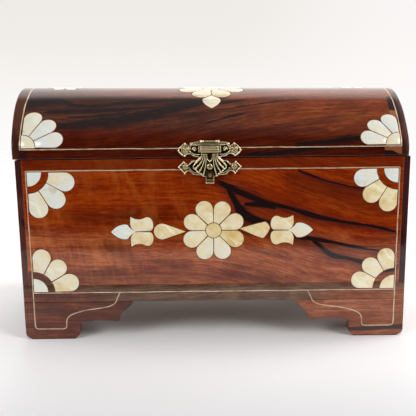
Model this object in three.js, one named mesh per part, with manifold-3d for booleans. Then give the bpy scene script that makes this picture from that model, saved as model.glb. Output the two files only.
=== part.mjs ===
// A domed jewellery box with shell and wire inlay. Veneered walls stand on a base frame with four
// bracket feet. The lid is curved like a barrel, hinged at the back, and closed by a cast clasp.
// Millimetres, +Z up. The front faces -Y, and the origin is the bottom centre of the whole box.
import * as THREE from 'three';
import { mergeVertices } from 'three/addons/utils/BufferGeometryUtils.js';
import Module from 'manifold-3d';

const wasm = await Module();
wasm.setup();

// Carcase
const WIDTH = 280;
const DEPTH = 134;
const RIM_Z = 135; // top of the walls
const WALL = 10;
const BASE_TOP = 42; // where the walls stand on the base frame
const BASE_BOTTOM = 29;
const BASE_RAIL = 14;
const FLOOR_BOARD = 6;
const FOOT_BOARD = 10;

// Lid: a short upright edge, a tight haunch, a wide crown
const LID_GAP = 0.5;
const LID_Z = RIM_Z + LID_GAP;
const LID_STRAIGHT = 4;
const LID_RISE = 40;
const HAUNCH_R = 16;
const LID_SKIN = 7;
const LID_END = 8;
const HAUNCH_STEPS = 4;
const CROWN_STEPS = 14;

// Inlay
const GAP = 0.3; // clearance round every inlaid piece
const TILE = 1.5;
const WIRE = 0.8;
const WIRE_X = 132.6; // stringing rectangle on the front and back
const WIRE_Y = 59.6; // and on the ends
const WIRE_LOW = 36.2;
const WIRE_HIGH = 127.2;
const LID_WIRE_X = 135;
const LID_WIRE_S = 7; // measured round the curve from the lid's lower edge
const WIRE_TO_TILE = 0.8;
const LID_WIRE_TO_TILE = 1.4; // round the curve
const PETAL_STEPS = 6;
const TOUCH = 0.1; // neighbouring tiles of one ornament share this much of their edges
const FLAT = 1e-3; // facets that differ by less than this are merged

// Ornaments
const FLOWER_R = 21.9;
const HUB_R = 5.8;
const FLOWER_Z = 82;
const SIDE_FLOWER_R = 19;
const FAN_PETAL_IN = 15.5;
const FAN_PETAL_OUT = 35;
const QUARTER_R = 10.3;
const LID_FAN_IN = 10;
const LID_FAN_OUT = 31;
const LID_FLOWER_R = 25.8;
const LID_HUB_R = 6.8;
const LID_FLOWER_S = 84.5;

// Hardware
const PLATE = 1.4;
const CLASP_X = -2;
const HASP_R = 2.6;
const HASP_AXIS_Y = -DEPTH / 2 - 3;
const HASP_AXIS_Z = RIM_Z + 7;
const HASP_HALF = 6;
const HASP_BACK = -HASP_AXIS_Y - DEPTH / 2 - 1; // from the front face to the hasp's back
const HASP_FRONT = HASP_BACK + 1.2;
const EAR = 1.6;
const PIN_R = 0.7;
const BORE_R = 1.05;
const NAIL_R = 2;
const SHANK_R = 0.5;
const HINGE_X = 75;
const HINGE_HALF = 12.5;
const HINGE_R = 2.4;
const HINGE_LEAF = 1.2;
const HINGE_LEAF_Z = 11;
const HINGE_AXIS_Y = DEPTH / 2 + 3.2;
const HINGE_AXIS_Z = RIM_Z + LID_GAP / 2;
const KNUCKLE = HINGE_HALF / 3; // half the length of the middle knuckle

const rosewood = new THREE.MeshStandardMaterial({ color: 0x6b2f16, roughness: 0.25 });
const darkwood = new THREE.MeshStandardMaterial({ color: 0x4a2a1e, roughness: 0.3 });
const innerwood = new THREE.MeshStandardMaterial({ color: 0x8a6040, roughness: 0.6 });
const shell = new THREE.MeshStandardMaterial({ color: 0xeee8d8, roughness: 0.2 });
const wire = new THREE.MeshStandardMaterial({ color: 0xd8c8a8, roughness: 0.3, metalness: 0.6 });
const brass = new THREE.MeshStandardMaterial({ color: 0x9a8a5c, roughness: 0.35, metalness: 1 });

// ---------------------------------------------------------------- solids and frames

const vec = (x, y) => new THREE.Vector2(x, y);

function solid(geometry) {
  const bare = geometry.clone();
  bare.deleteAttribute('normal');
  bare.deleteAttribute('uv');
  const welded = mergeVertices(bare, 1e-4);
  return new wasm.Manifold(new wasm.Mesh({
    numProp: 3,
    vertProperties: new Float32Array(welded.attributes.position.array),
    triVerts: new Uint32Array(welded.index.array),
  }));
}

function geometryOf(manifold) {
  const mesh = manifold.asOriginal().simplify(FLAT).getMesh();
  const geometry = new THREE.BufferGeometry();
  geometry.setAttribute('position', new THREE.BufferAttribute(mesh.vertProperties, 3));
  geometry.setIndex(new THREE.BufferAttribute(mesh.triVerts, 1));
  geometry.computeVertexNormals();
  return geometry;
}

const union = (solids) => solids.reduce((sum, next) => sum.add(next));

function block(low, high) {
  const size = high.map((value, i) => value - low[i]);
  const geometry = new THREE.BoxGeometry(...size);
  geometry.translate(...low.map((value, i) => value + size[i] / 2));
  return solid(geometry);
}

// A rod along X.
function rod(radius, x0, x1, y, z, sides = 8) {
  const geometry = new THREE.CylinderGeometry(radius, radius, x1 - x0, sides);
  geometry.rotateZ(Math.PI / 2);
  geometry.translate((x0 + x1) / 2, y, z);
  return solid(geometry);
}

function frameOf(u, v, w, origin) {
  const basis = new THREE.Matrix4().makeBasis(...[u, v, w].map((a) => new THREE.Vector3(...a)));
  return basis.setPosition(...origin);
}

// Each face has a flat frame of its own: u to the right, v up, w outwards from the face.
const FRONT = frameOf([1, 0, 0], [0, 0, 1], [0, -1, 0], [0, -DEPTH / 2, 0]);
const BACK = frameOf([-1, 0, 0], [0, 0, 1], [0, 1, 0], [0, DEPTH / 2, 0]);
const RIGHT = frameOf([0, 1, 0], [0, 0, 1], [1, 0, 0], [WIDTH / 2, 0, 0]);
const LEFT = frameOf([0, -1, 0], [0, 0, 1], [-1, 0, 0], [-WIDTH / 2, 0, 0]);

// A flat outline, or a shape with a hole, made into a slab between two distances from a face.
function slab(outline, low, high, frame) {
  const shape = Array.isArray(outline) ? new THREE.Shape(outline) : outline;
  const options = { depth: high - low, bevelEnabled: false, curveSegments: 6 };
  const geometry = new THREE.ExtrudeGeometry(shape, options);
  geometry.translate(0, 0, low);
  geometry.applyMatrix4(frame);
  return solid(geometry);
}

// ---------------------------------------------------------------- outlines

function pointsOf(shape, divisions = 5) {
  const points = shape.getPoints(divisions);
  const last = points[points.length - 1];
  if (last.distanceTo(points[0]) < 1e-6) points.pop();
  return points;
}

// The same outline with every side moved outwards by a distance.
function grown(points, distance) {
  const turn = THREE.ShapeUtils.isClockWise(points) ? -1 : 1;
  const out = (a, b) => vec(b.y - a.y, a.x - b.x).normalize().multiplyScalar(turn);
  return points.map((point, i) => {
    const before = out(points.at(i - 1), point);
    const after = out(point, points[(i + 1) % points.length]);
    const middle = before.clone().add(after).normalize();
    const mitre = Math.min(2, 1 / middle.dot(before));
    return point.clone().addScaledVector(middle, distance * mitre);
  });
}

const moved = (points, x, y) => points.map((point) => vec(point.x + x, point.y + y));
const mirrored = (points, u, v) => points.map((point) => vec(point.x * u, point.y * v));

function arcPoints(x, y, radius, from, to, steps) {
  const points = [];
  for (let i = 0; i <= steps; i += 1) {
    const angle = from + ((to - from) * i) / steps;
    points.push(vec(x + radius * Math.cos(angle), y + radius * Math.sin(angle)));
  }
  return points;
}

// A petal between two rays of a centre: straight sides on the rays, and a round outer end that
// is tangent to both of them.
function petal(mid, half, inner, outer, steps) {
  const side = -TOUCH / 2;
  const reach = (outer + side) / (1 + Math.sin(half));
  const round = reach * Math.sin(half) - side;
  const turn = Math.PI / 2 + half;
  const end = vec(reach * Math.cos(mid), reach * Math.sin(mid));
  const outerEnd = arcPoints(end.x, end.y, round, mid - turn, mid + turn, steps);
  const spread = half - Math.asin(side / inner);
  return [...outerEnd, ...arcPoints(0, 0, inner, mid + spread, mid - spread, 2)];
}

function petals(count, start, step, inner, outer, steps = PETAL_STEPS) {
  const list = [];
  for (let i = 0; i < count; i += 1) {
    list.push(petal(start + step * i, step / 2, inner, outer, steps));
  }
  return list;
}

const disc = (radius, steps) => arcPoints(0, 0, radius, 0, 2 * Math.PI, steps).slice(1);
const flower = (outer, inner, steps) => (
  petals(8, Math.PI / 8, Math.PI / 4, inner, outer, steps)
);
const fan = (inner, outer) => petals(3, Math.PI / 12, Math.PI / 6, inner, outer);
const quarter = (radius) => [vec(0, 0), ...arcPoints(0, 0, radius, 0, Math.PI / 2, 6)];

// The spray beside the front flower, pointing right along v = 0.
function drop() {
  const tip = 20;
  const end = 36.7;
  const radius = 5.6;
  const touch = Math.PI - Math.acos(radius / (end - tip));
  return [vec(tip, 0), ...arcPoints(end, 0, radius, -touch, touch, PETAL_STEPS)];
}

function tulipPetal() {
  const shape = new THREE.Shape();
  shape.moveTo(45, -TOUCH / 2);
  shape.lineTo(55.4, -TOUCH / 2);
  shape.quadraticCurveTo(58.4, 2.2, 58.7, 6.2);
  shape.lineTo(58, 10.7);
  shape.bezierCurveTo(54.5, 8.2, 51, 8, 47.6, 9.9);
  shape.bezierCurveTo(45.2, 11.2, 42.6, 9, 42.4, 5.4);
  shape.bezierCurveTo(42.3, 2.2, 43.2, 0.6, 45, -TOUCH / 2);
  return pointsOf(shape, 4);
}

function leaf() {
  const shape = new THREE.Shape();
  shape.moveTo(54.6, 0);
  shape.quadraticCurveTo(58.8, 2.4, 60.4, 5.4);
  shape.bezierCurveTo(63.4, 6.7, 68.6, 5, 72.6, 0);
  shape.bezierCurveTo(68.6, -5, 63.4, -6.7, 60.4, -5.4);
  shape.quadraticCurveTo(58.8, -2.4, 54.6, 0);
  return pointsOf(shape, 4);
}

// The leaf in front of the lid's flower. It starts in the notch between two petals and points
// down, and v is measured from the flower's centre.
function lidLeaf() {
  const shape = new THREE.Shape();
  shape.moveTo(0, -19.6);
  shape.quadraticCurveTo(1, -23, 5.6, -26.4);
  shape.bezierCurveTo(8.2, -29.4, 5.5, -36.5, 0, -40.6);
  shape.bezierCurveTo(-5.5, -36.5, -8.2, -29.4, -5.6, -26.4);
  shape.quadraticCurveTo(-1, -23, 0, -19.6);
  return pointsOf(shape, 4);
}

// A strip of one width along a path.
function ribbon(path, width) {
  const left = [];
  const right = [];
  path.forEach((point, i) => {
    const before = path[Math.max(i - 1, 0)];
    const after = path[Math.min(i + 1, path.length - 1)];
    const normal = vec(before.y - after.y, after.x - before.x).normalize();
    left.push(point.clone().addScaledVector(normal, width / 2));
    right.unshift(point.clone().addScaledVector(normal, -width / 2));
  });
  return [...left, ...right];
}

function rectangle(halfU, low, high, width) {
  const corner = (d) => [
    vec(-halfU - d, low - d),
    vec(halfU + d, low - d),
    vec(halfU + d, high + d),
    vec(-halfU - d, high + d),
  ];
  const shape = new THREE.Shape(corner(width / 2));
  shape.holes.push(new THREE.Path(corner(-width / 2)));
  return shape;
}

// The wire that follows the inside of a front foot, on the right.
function footWire() {
  const shape = new THREE.Shape();
  const sole = 8.1;
  const inside = 109.2;
  shape.moveTo(WIRE_X, WIRE_LOW);
  shape.lineTo(WIRE_X, sole + 1.6);
  shape.quadraticCurveTo(WIRE_X, sole, WIRE_X - 1.6, sole);
  shape.lineTo(inside + 1.6, sole);
  shape.quadraticCurveTo(inside, sole, inside, sole + 1.6);
  shape.lineTo(inside, 14);
  shape.bezierCurveTo(inside, 19, 103, 20, 99, 21.3);
  shape.bezierCurveTo(89, 24.6, 75, 23, 72, 29);
  shape.quadraticCurveTo(70.5, 33.4, 68.6, WIRE_LOW);
  return shape.getPoints(3);
}

// ---------------------------------------------------------------- feet

// A bracket foot seen from its face. u runs inwards from the outer end, v up from the floor.
function footFace(pad, reach) {
  const shape = new THREE.Shape();
  const cusp = reach - 10.3;
  const step = pad + 4;
  shape.moveTo(0, BASE_BOTTOM);
  shape.lineTo(0, 0);
  shape.lineTo(pad, 0);
  shape.lineTo(step - 0.4, 3.6);
  shape.lineTo(step, 12);
  shape.quadraticCurveTo((step + cusp) / 2 - 5, 15.2, cusp - 3, 13.6);
  shape.quadraticCurveTo(cusp, 13.2, cusp, 15.2);
  shape.bezierCurveTo(cusp + 0.9, 22, cusp + 8.4, 23.5, reach, BASE_BOTTOM);
  return pointsOf(shape, 6);
}

const FRONT_PAD = 36.4;
const FRONT_REACH = 80.5;
const SIDE_PAD = 24;
const SIDE_REACH = 52;
const CORNER_CUT = 4.6;

function foot(right, front) {
  const u = right ? 1 : -1;
  const v = front ? -1 : 1;
  const place = (points, outer, sign) => moved(mirrored(points, -sign, 1), sign * outer, 0);
  const faceOut = place(footFace(FRONT_PAD, FRONT_REACH), WIDTH / 2, front ? u : -u);
  const sideOut = place(footFace(SIDE_PAD, SIDE_REACH), DEPTH / 2, right ? v : -v);
  const face = slab(faceOut, -FOOT_BOARD, 0, front ? FRONT : BACK);
  const side = slab(sideOut, -FOOT_BOARD, 0, right ? RIGHT : LEFT);
  const cut = [
    vec(u * (WIDTH / 2 - CORNER_CUT), -0.1),
    vec(u * (WIDTH / 2 + 0.2), CORNER_CUT),
    vec(u * (WIDTH / 2 + 0.2), -0.1),
  ];
  return face.add(side).subtract(slab(cut, -DEPTH, 0, FRONT));
}

// ---------------------------------------------------------------- lid curve

// Corners of the lid's section from its front lower edge over to the back, with the distance
// round the curve and the outward normal at each.
function lidCorners() {
  const half = DEPTH / 2;
  const run = half - HAUNCH_R;
  const crownR = (run ** 2 + LID_RISE ** 2 - HAUNCH_R ** 2) / (2 * (LID_RISE - HAUNCH_R));
  const crownZ = LID_STRAIGHT + LID_RISE - crownR;
  const meet = Math.atan2(LID_STRAIGHT - crownZ, -run);
  const corners = [{ y: -half, z: 0, angle: Math.PI }];
  for (let i = 0; i <= HAUNCH_STEPS; i += 1) {
    const angle = Math.PI + ((meet - Math.PI) * i) / HAUNCH_STEPS;
    const y = -run + HAUNCH_R * Math.cos(angle);
    corners.push({ y, z: LID_STRAIGHT + HAUNCH_R * Math.sin(angle), angle });
  }
  for (let i = 1; i < CROWN_STEPS; i += 1) {
    const angle = meet + ((Math.PI - 2 * meet) * i) / CROWN_STEPS;
    corners.push({ y: crownR * Math.cos(angle), z: crownZ + crownR * Math.sin(angle), angle });
  }
  const back = corners.slice(0, HAUNCH_STEPS + 2).reverse();
  corners.push(...back.map(({ y, z, angle }) => ({ y: -y, z, angle: Math.PI - angle })));
  let s = 0;
  corners.forEach((corner, i) => {
    const before = corners[Math.max(i - 1, 0)];
    s += Math.hypot(corner.y - before.y, corner.z - before.z);
    corner.s = s;
  });
  return corners;
}

const CORNERS = lidCorners();
const LID_S = CORNERS.at(-1).s;

// The point at a distance round the lid and a height above its surface, as (y, z).
function onLid(s, height = 0) {
  const at = (corner) => vec(
    corner.y + height * Math.cos(corner.angle),
    LID_Z + corner.z + height * Math.sin(corner.angle),
  );
  const i = Math.max(1, CORNERS.findIndex((corner) => corner.s >= s - 1e-9));
  const [a, b] = [CORNERS[i - 1], CORNERS[i]];
  return at(a).lerp(at(b), (s - a.s) / (b.s - a.s));
}

// A layer of the lid between two heights, over a stretch of its curve and of its length.
function skin(low, high, s0, s1, x0, x1) {
  const between = CORNERS.map((corner) => corner.s).filter((s) => s > s0 + 1e-3 && s < s1 - 1e-3);
  const stops = [s0, ...between, s1];
  const outer = stops.map((s) => onLid(s, high));
  const inner = stops.map((s) => onLid(s, low)).reverse();
  const frame = frameOf([0, 1, 0], [0, 0, 1], [1, 0, 0], [0, 0, 0]);
  return slab([...outer, ...inner], x0, x1, frame);
}

// A straight cutter whose outline is drawn on the lid: u along the box, v round the curve.
function lidCutter(points, centre) {
  const origin = onLid(centre);
  const along = onLid(centre + 0.5).sub(onLid(centre - 0.5)).normalize();
  const normal = [0, -along.y, along.x];
  const frame = frameOf([1, 0, 0], [0, along.x, along.y], normal, [0, origin.x, origin.y]);
  const flat = points.map((point) => vec(point.x, onLid(point.y).sub(origin).dot(along)));
  return slab(flat, -12, 12, frame);
}

const lidLayer = (low, high) => skin(low, high, 0, LID_S, -WIDTH / 2, WIDTH / 2);

// ---------------------------------------------------------------- scene graph

const group = new THREE.Group();
group.name = 'shell_box';

function add(name, body, material) {
  const mesh = new THREE.Mesh(geometryOf(body), material);
  mesh.name = name;
  group.add(mesh);
}

// Everything that is let into a face is collected first, because the wood is cut from it.
const inlay = { front: [], back: [], left: [], right: [], lid: [] };
const FRAMES = { front: FRONT, back: BACK, left: LEFT, right: RIGHT };

function addTile(face, name, outlines) {
  const frame = FRAMES[face];
  const pocket = outlines.map((points) => slab(grown(points, GAP), -TILE - GAP, 1, frame));
  inlay[face].push(union(pocket));
  add(name, union(outlines.map((points) => slab(points, -TILE, 0, frame))), shell);
}

const surface = lidLayer(-TILE, 0);
const pocketLayer = lidLayer(-TILE - GAP, 1);

function addLidTile(name, outlines, centre) {
  const cutters = outlines.map((points) => lidCutter(points, centre));
  const wider = outlines.map((points) => lidCutter(grown(points, GAP), centre));
  inlay.lid.push(union(wider).intersect(pocketLayer));
  add(name, union(cutters).intersect(surface), shell);
}

function addWire(face, halfU, paths = []) {
  const frame = FRAMES[face];
  const strip = (width, low, high) => union([
    slab(rectangle(halfU, WIRE_LOW, WIRE_HIGH, width), low, high, frame),
    ...paths.map((path) => slab(ribbon(path, width), low, high, frame)),
  ]);
  inlay[face].push(strip(WIRE + 2 * GAP, -WIRE - GAP, 1));
  add(`stringing_${face}`, strip(WIRE, -WIRE, 0), wire);
}

// ---------------------------------------------------------------- front and end inlay

const footPath = footWire();
addWire('front', WIRE_X, [footPath, mirrored(footPath, -1, 1)]);
addWire('back', WIRE_X);
addWire('left', WIRE_Y);
addWire('right', WIRE_Y);

const raised = (list, x, y) => list.map((points) => moved(points, x, y));
addTile('front', 'shell_front_flower', raised(flower(FLOWER_R, HUB_R + GAP), 0, FLOWER_Z));
addTile('front', 'shell_front_hub', raised([disc(HUB_R, 16)], 0, FLOWER_Z));
const sideFlower = [...flower(SIDE_FLOWER_R, HUB_R, 4), disc(HUB_R + TOUCH, 8)];
for (const [side, sign] of [['left', -1], ['right', 1]]) {
  const tulip = tulipPetal();
  const spray = [tulip, mirrored(tulip, 1, -1), leaf()].map((points) => mirrored(points, sign, 1));
  addTile('front', `shell_front_drop_${side}`, raised([mirrored(drop(), sign, 1)], 0, FLOWER_Z));
  addTile('front', `shell_front_spray_${side}`, raised(spray, 0, FLOWER_Z));
  addTile(side, `shell_${side}_flower`, raised(sideFlower, 0, FLOWER_Z));
  for (const [level, up, z] of [['lower', 1, WIRE_LOW], ['upper', -1, WIRE_HIGH]]) {
    const x = sign * (WIRE_X - WIRE_TO_TILE);
    const corner = (list) => raised(
      list.map((points) => mirrored(points, -sign, up)), x, z + up * WIRE_TO_TILE,
    );
    addTile('front', `shell_fan_${level}_${side}`, corner(fan(FAN_PETAL_IN, FAN_PETAL_OUT)));
    addTile('front', `shell_quarter_${level}_${side}`, corner([quarter(QUARTER_R)]));
  }
}

// ---------------------------------------------------------------- lid inlay

const lidFan = [...fan(LID_FAN_IN, LID_FAN_OUT), quarter(LID_FAN_IN + TOUCH)];
for (const [side, sign] of [['left', -1], ['right', 1]]) {
  const x = sign * (LID_WIRE_X - WIRE_TO_TILE);
  const s = LID_WIRE_S + LID_WIRE_TO_TILE;
  const front = raised(lidFan.map((points) => mirrored(points, -sign, 1)), x, s);
  const back = raised(lidFan.map((points) => mirrored(points, -sign, -1)), x, LID_S - s);
  const halfway = s + LID_FAN_OUT / 2;
  addLidTile(`shell_lid_fan_front_${side}`, front, halfway);
  addLidTile(`shell_lid_fan_back_${side}`, back, LID_S - halfway);
}
const lidFlower = [...flower(LID_FLOWER_R, LID_HUB_R), disc(LID_HUB_R + TOUCH, 16)];
addLidTile('shell_lid_flower', raised(lidFlower, 0, LID_FLOWER_S), LID_FLOWER_S);
addLidTile('shell_lid_leaf', raised([lidLeaf()], 0, LID_FLOWER_S), LID_FLOWER_S);

function lidStringing(width, low, high) {
  const d = width / 2;
  const [s, t] = [LID_WIRE_S, LID_S - LID_WIRE_S];
  const x = LID_WIRE_X;
  return union([
    skin(low, high, s - d, s + d, -x - d, x + d),
    skin(low, high, t - d, t + d, -x - d, x + d),
    skin(low, high, s - d, t + d, -x - d, -x + d),
    skin(low, high, s - d, t + d, x - d, x + d),
  ]);
}
inlay.lid.push(lidStringing(WIRE + 2 * GAP, -WIRE - GAP, 1));
add('stringing_lid', lidStringing(WIRE, -WIRE, 0), wire);

// ---------------------------------------------------------------- nails

// A domed nail through a plate, along Y, with the hole that it takes.
function nail(x, z) {
  const shank = -PLATE - GAP / 2;
  const head = [vec(0, 1), vec(0.9, 0.85), vec(1.6, 0.45), vec(NAIL_R, 0)];
  const profile = [vec(0, shank), vec(SHANK_R, shank), vec(SHANK_R, 0), vec(NAIL_R, 0)];
  const points = [...profile, ...head.reverse().slice(1)];
  const geometry = new THREE.LatheGeometry(points, 6);
  geometry.rotateX(Math.PI);
  geometry.translate(x, -DEPTH / 2 - GAP - PLATE - GAP, z);
  return solid(geometry);
}

function nailHole(x, z) {
  const geometry = new THREE.CylinderGeometry(SHANK_R + GAP, SHANK_R + GAP, 4, 6);
  geometry.translate(x, -DEPTH / 2 - 2, z);
  return solid(geometry);
}

// ---------------------------------------------------------------- clasp

function symmetrical(draw) {
  const shape = new THREE.Shape();
  draw(shape);
  const half = pointsOf(shape, 3);
  const other = mirrored(half, -1, 1).reverse().filter((point) => Math.abs(point.x) > 1e-6);
  return moved([...half, ...other], CLASP_X, RIM_Z);
}

const lidPlateOutline = symmetrical((shape) => {
  shape.moveTo(0, 2.2);
  shape.lineTo(7.2, 2.2);
  shape.lineTo(11.6, 3.2);
  shape.quadraticCurveTo(14.6, 5.4, 17.6, 2.7);
  shape.quadraticCurveTo(18.8, 5, 22.2, 7.4);
  shape.quadraticCurveTo(18.6, 9, 17.4, 11.6);
  shape.quadraticCurveTo(16, 9.4, 13.8, 9.8);
  shape.lineTo(13.2, 11.2);
  shape.lineTo(11.2, 12.4);
  shape.lineTo(6.3, 13);
  shape.lineTo(0, 12.6);
});

const catchOutline = symmetrical((shape) => {
  shape.moveTo(0, -11.8);
  shape.lineTo(6.2, -11.8);
  shape.lineTo(12, -11.1);
  shape.quadraticCurveTo(14.6, -6.6, 18, -11.1);
  shape.quadraticCurveTo(18.8, -8.4, 22.1, -5.7);
  shape.quadraticCurveTo(19.4, -4.8, 18.5, -1.5);
  shape.quadraticCurveTo(15.2, -6.4, 12.6, -1.2);
  shape.lineTo(9, -1);
  shape.lineTo(0, -1);
});

const haspOutline = symmetrical((shape) => {
  shape.moveTo(0, -12.2);
  shape.lineTo(5, -12);
  shape.lineTo(8.8, -9.2);
  shape.quadraticCurveTo(11, -7, 11.8, -4.6);
  shape.lineTo(9.2, -1);
  shape.lineTo(5.6, 3.2);
  shape.lineTo(5.6, 6);
  shape.lineTo(0, 6);
});

const nails = [
  ['lid', 17.2, 7.8],
  ['catch', 17.2, -5.6],
].flatMap(([on, x, z]) => [['left', -1], ['right', 1]].map(([side, sign]) => (
  { on, name: `clasp_nail_${on}_${side}`, x: CLASP_X + sign * x, z: RIM_Z + z }
)));
const holes = union(nails.map(({ x, z }) => nailHole(x, z)));
nails.forEach(({ name, x, z }) => add(name, nail(x, z), brass));

function lidPlate() {
  const layer = skin(GAP, GAP + PLATE, 0, 25, -WIDTH / 2, WIDTH / 2);
  const reach = HASP_HALF + GAP;
  const clear = HASP_R + GAP;
  const window = block(
    [CLASP_X - reach, -DEPTH / 2 - 9, HASP_AXIS_Z - clear],
    [CLASP_X + reach, -DEPTH / 2 + 9, HASP_AXIS_Z + clear],
  );
  const ears = [-1, 1].map((sign) => {
    const ends = [sign * reach, sign * (reach + EAR)].sort((a, b) => a - b);
    return rod(HASP_R - 0.2, ...ends.map((x) => CLASP_X + x), HASP_AXIS_Y, HASP_AXIS_Z);
  });
  const bore = rod(BORE_R, CLASP_X - 12, CLASP_X + 12, HASP_AXIS_Y, HASP_AXIS_Z);
  const plate = slab(lidPlateOutline, -8, 6, FRONT).intersect(layer).subtract(window);
  return union([plate, ...ears]).subtract(bore).subtract(holes);
}

// Ribs of the hasp's fan: half the spread at the barrel and at the lower end, and that end's height.
const RIBS = [
  { top: 1.6, spread: 2.7, end: -11.6 },
  { top: 3, spread: 5.6, end: -11.2 },
  { top: 4.2, spread: 8.7, end: -8.8 },
  { top: 5, spread: 11, end: -5 },
];
const RIB = 0.8;
const RIB_HIGH = 0.7;
const SUNK = 0.2; // how far a raised detail starts below the surface that carries it

function haspRib({ top, spread, end }, sign) {
  const waist = (top + spread) * 0.47;
  const path = [vec(sign * top, 4), vec(sign * waist, -2), vec(sign * spread, end)];
  const outline = moved(ribbon(path, RIB), CLASP_X, RIM_Z);
  return slab(outline, HASP_FRONT - SUNK, HASP_FRONT + RIB_HIGH, FRONT);
}

function haspBarrel() {
  const ends = [CLASP_X - HASP_HALF, CLASP_X + HASP_HALF];
  const rim = HASP_R + 0.1;
  const grooves = [];
  for (let i = -2; i <= 2; i += 1) {
    const y = HASP_AXIS_Y - rim * Math.cos(i / 2);
    const z = HASP_AXIS_Z + rim * Math.sin(i / 2);
    grooves.push(rod(0.35, CLASP_X - 2 * HASP_HALF, CLASP_X + 2 * HASP_HALF, y, z, 4));
  }
  return rod(HASP_R, ...ends, HASP_AXIS_Y, HASP_AXIS_Z, 16).subtract(union(grooves));
}

// The hasp: a ribbed barrel on the pin, and below it a fan of ribs, an eye boss and a thumb lip.
function hasp() {
  const part = (points, low, high) => slab(moved(points, CLASP_X, RIM_Z), low, high, FRONT);
  const strip = (half, low, high) => (
    [vec(-half, low), vec(half, low), vec(half, high), vec(-half, high)]
  );
  const eye = -5.2;
  const bossHigh = HASP_FRONT + 1.2;
  return union([
    slab(haspOutline, HASP_BACK, HASP_FRONT, FRONT),
    haspBarrel(),
    ...RIBS.flatMap((rib) => [haspRib(rib, -1), haspRib(rib, 1)]),
    part(moved(disc(2.1, 12), 0, eye), HASP_FRONT - SUNK, bossHigh),
    part(strip(2.8, -15.6, -11), HASP_BACK, HASP_FRONT),
    part(strip(3, -17.4, -15.2), HASP_BACK, HASP_FRONT + 1.6),
  ]).subtract(part(moved(disc(1, 8), 0, eye), bossHigh - 0.9, bossHigh + 1))
    .subtract(rod(BORE_R, CLASP_X - 12, CLASP_X + 12, HASP_AXIS_Y, HASP_AXIS_Z));
}

add('clasp_lid_plate', lidPlate(), brass);
add('clasp_catch_plate', slab(catchOutline, GAP, GAP + PLATE, FRONT).subtract(holes), brass);
add('clasp_hasp', hasp(), brass);
const pinHalf = HASP_HALF + EAR;
add(
  'clasp_pin',
  rod(PIN_R, CLASP_X - pinHalf, CLASP_X + pinHalf, HASP_AXIS_Y, HASP_AXIS_Z),
  brass,
);

// ---------------------------------------------------------------- hinges

function hinge(side, x) {
  const knuckle = (x0, x1) => rod(HINGE_R, x0, x1, HINGE_AXIS_Y, HINGE_AXIS_Z, 8);
  const clear = HINGE_R + GAP;
  const back = DEPTH / 2 + GAP;
  const outer = [
    [x - HINGE_HALF, x - KNUCKLE - GAP],
    [x + KNUCKLE + GAP, x + HINGE_HALF],
  ];
  const bore = rod(BORE_R, x - 20, x + 20, HINGE_AXIS_Y, HINGE_AXIS_Z);
  const bodyLeaf = union([
    block([x - HINGE_HALF, back, HINGE_AXIS_Z - HINGE_LEAF_Z],
      [x + HINGE_HALF, back + HINGE_LEAF, HINGE_AXIS_Z - clear]),
    ...outer.map(([x0, x1]) => block([x0, back, HINGE_AXIS_Z - clear - 0.1],
      [x1, back + HINGE_LEAF, HINGE_AXIS_Z])),
    ...outer.map(([x0, x1]) => knuckle(x0, x1)),
  ]);
  const middle = [x - KNUCKLE, x + KNUCKLE];
  const leafLayer = (x0, x1, z0, z1) => block([x0, back - 8, z0], [x1, back + 3, z1])
    .intersect(skin(GAP, GAP + HINGE_LEAF, LID_S - 25, LID_S, -WIDTH / 2, WIDTH / 2));
  const lidLeafPlate = union([
    leafLayer(x - HINGE_HALF, x + HINGE_HALF, HINGE_AXIS_Z + clear, HINGE_AXIS_Z + HINGE_LEAF_Z),
    leafLayer(...middle, LID_Z, HINGE_AXIS_Z + clear + 0.1),
    knuckle(...middle),
  ]);
  add(`hinge_${side}_body_leaf`, bodyLeaf.subtract(bore), brass);
  add(`hinge_${side}_lid_leaf`, lidLeafPlate.subtract(bore), brass);
  const ends = [x - HINGE_HALF, x + HINGE_HALF];
  add(`hinge_${side}_pin`, rod(PIN_R, ...ends, HINGE_AXIS_Y, HINGE_AXIS_Z), brass);
}

hinge('left', -HINGE_X);
hinge('right', HINGE_X);

// ---------------------------------------------------------------- wood

const carcaseCut = union(['front', 'back', 'left', 'right'].flatMap((face) => inlay[face]));
const lidCut = union(inlay.lid);
const [hx, hy] = [WIDTH / 2, DEPTH / 2];
const [wx, wy] = [hx - WALL, hy - WALL];
const [rx, ry] = [hx - BASE_RAIL, hy - BASE_RAIL];

function addBoard(name, low, high, material) {
  add(name, block(low, high).subtract(carcaseCut), material);
}

addBoard('wall_front', [-hx, -hy, BASE_TOP], [hx, -wy, RIM_Z], rosewood);
addBoard('wall_back', [-hx, wy, BASE_TOP], [hx, hy, RIM_Z], rosewood);
addBoard('wall_left', [-hx, -wy, BASE_TOP], [-wx, wy, RIM_Z], rosewood);
addBoard('wall_right', [wx, -wy, BASE_TOP], [hx, wy, RIM_Z], rosewood);
addBoard('floor_board', [-wx, -wy, BASE_TOP], [wx, wy, BASE_TOP + FLOOR_BOARD], innerwood);
addBoard('base_rail_front', [-hx, -hy, BASE_BOTTOM], [hx, -ry, BASE_TOP], darkwood);
addBoard('base_rail_back', [-hx, ry, BASE_BOTTOM], [hx, hy, BASE_TOP], darkwood);
addBoard('base_rail_left', [-hx, -ry, BASE_BOTTOM], [-rx, ry, BASE_TOP], darkwood);
addBoard('base_rail_right', [rx, -ry, BASE_BOTTOM], [hx, ry, BASE_TOP], darkwood);

for (const [along, front] of [['front', true], ['back', false]]) {
  for (const [side, right] of [['left', false], ['right', true]]) {
    add(`foot_${along}_${side}`, foot(right, front).subtract(carcaseCut), darkwood);
  }
}

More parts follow.
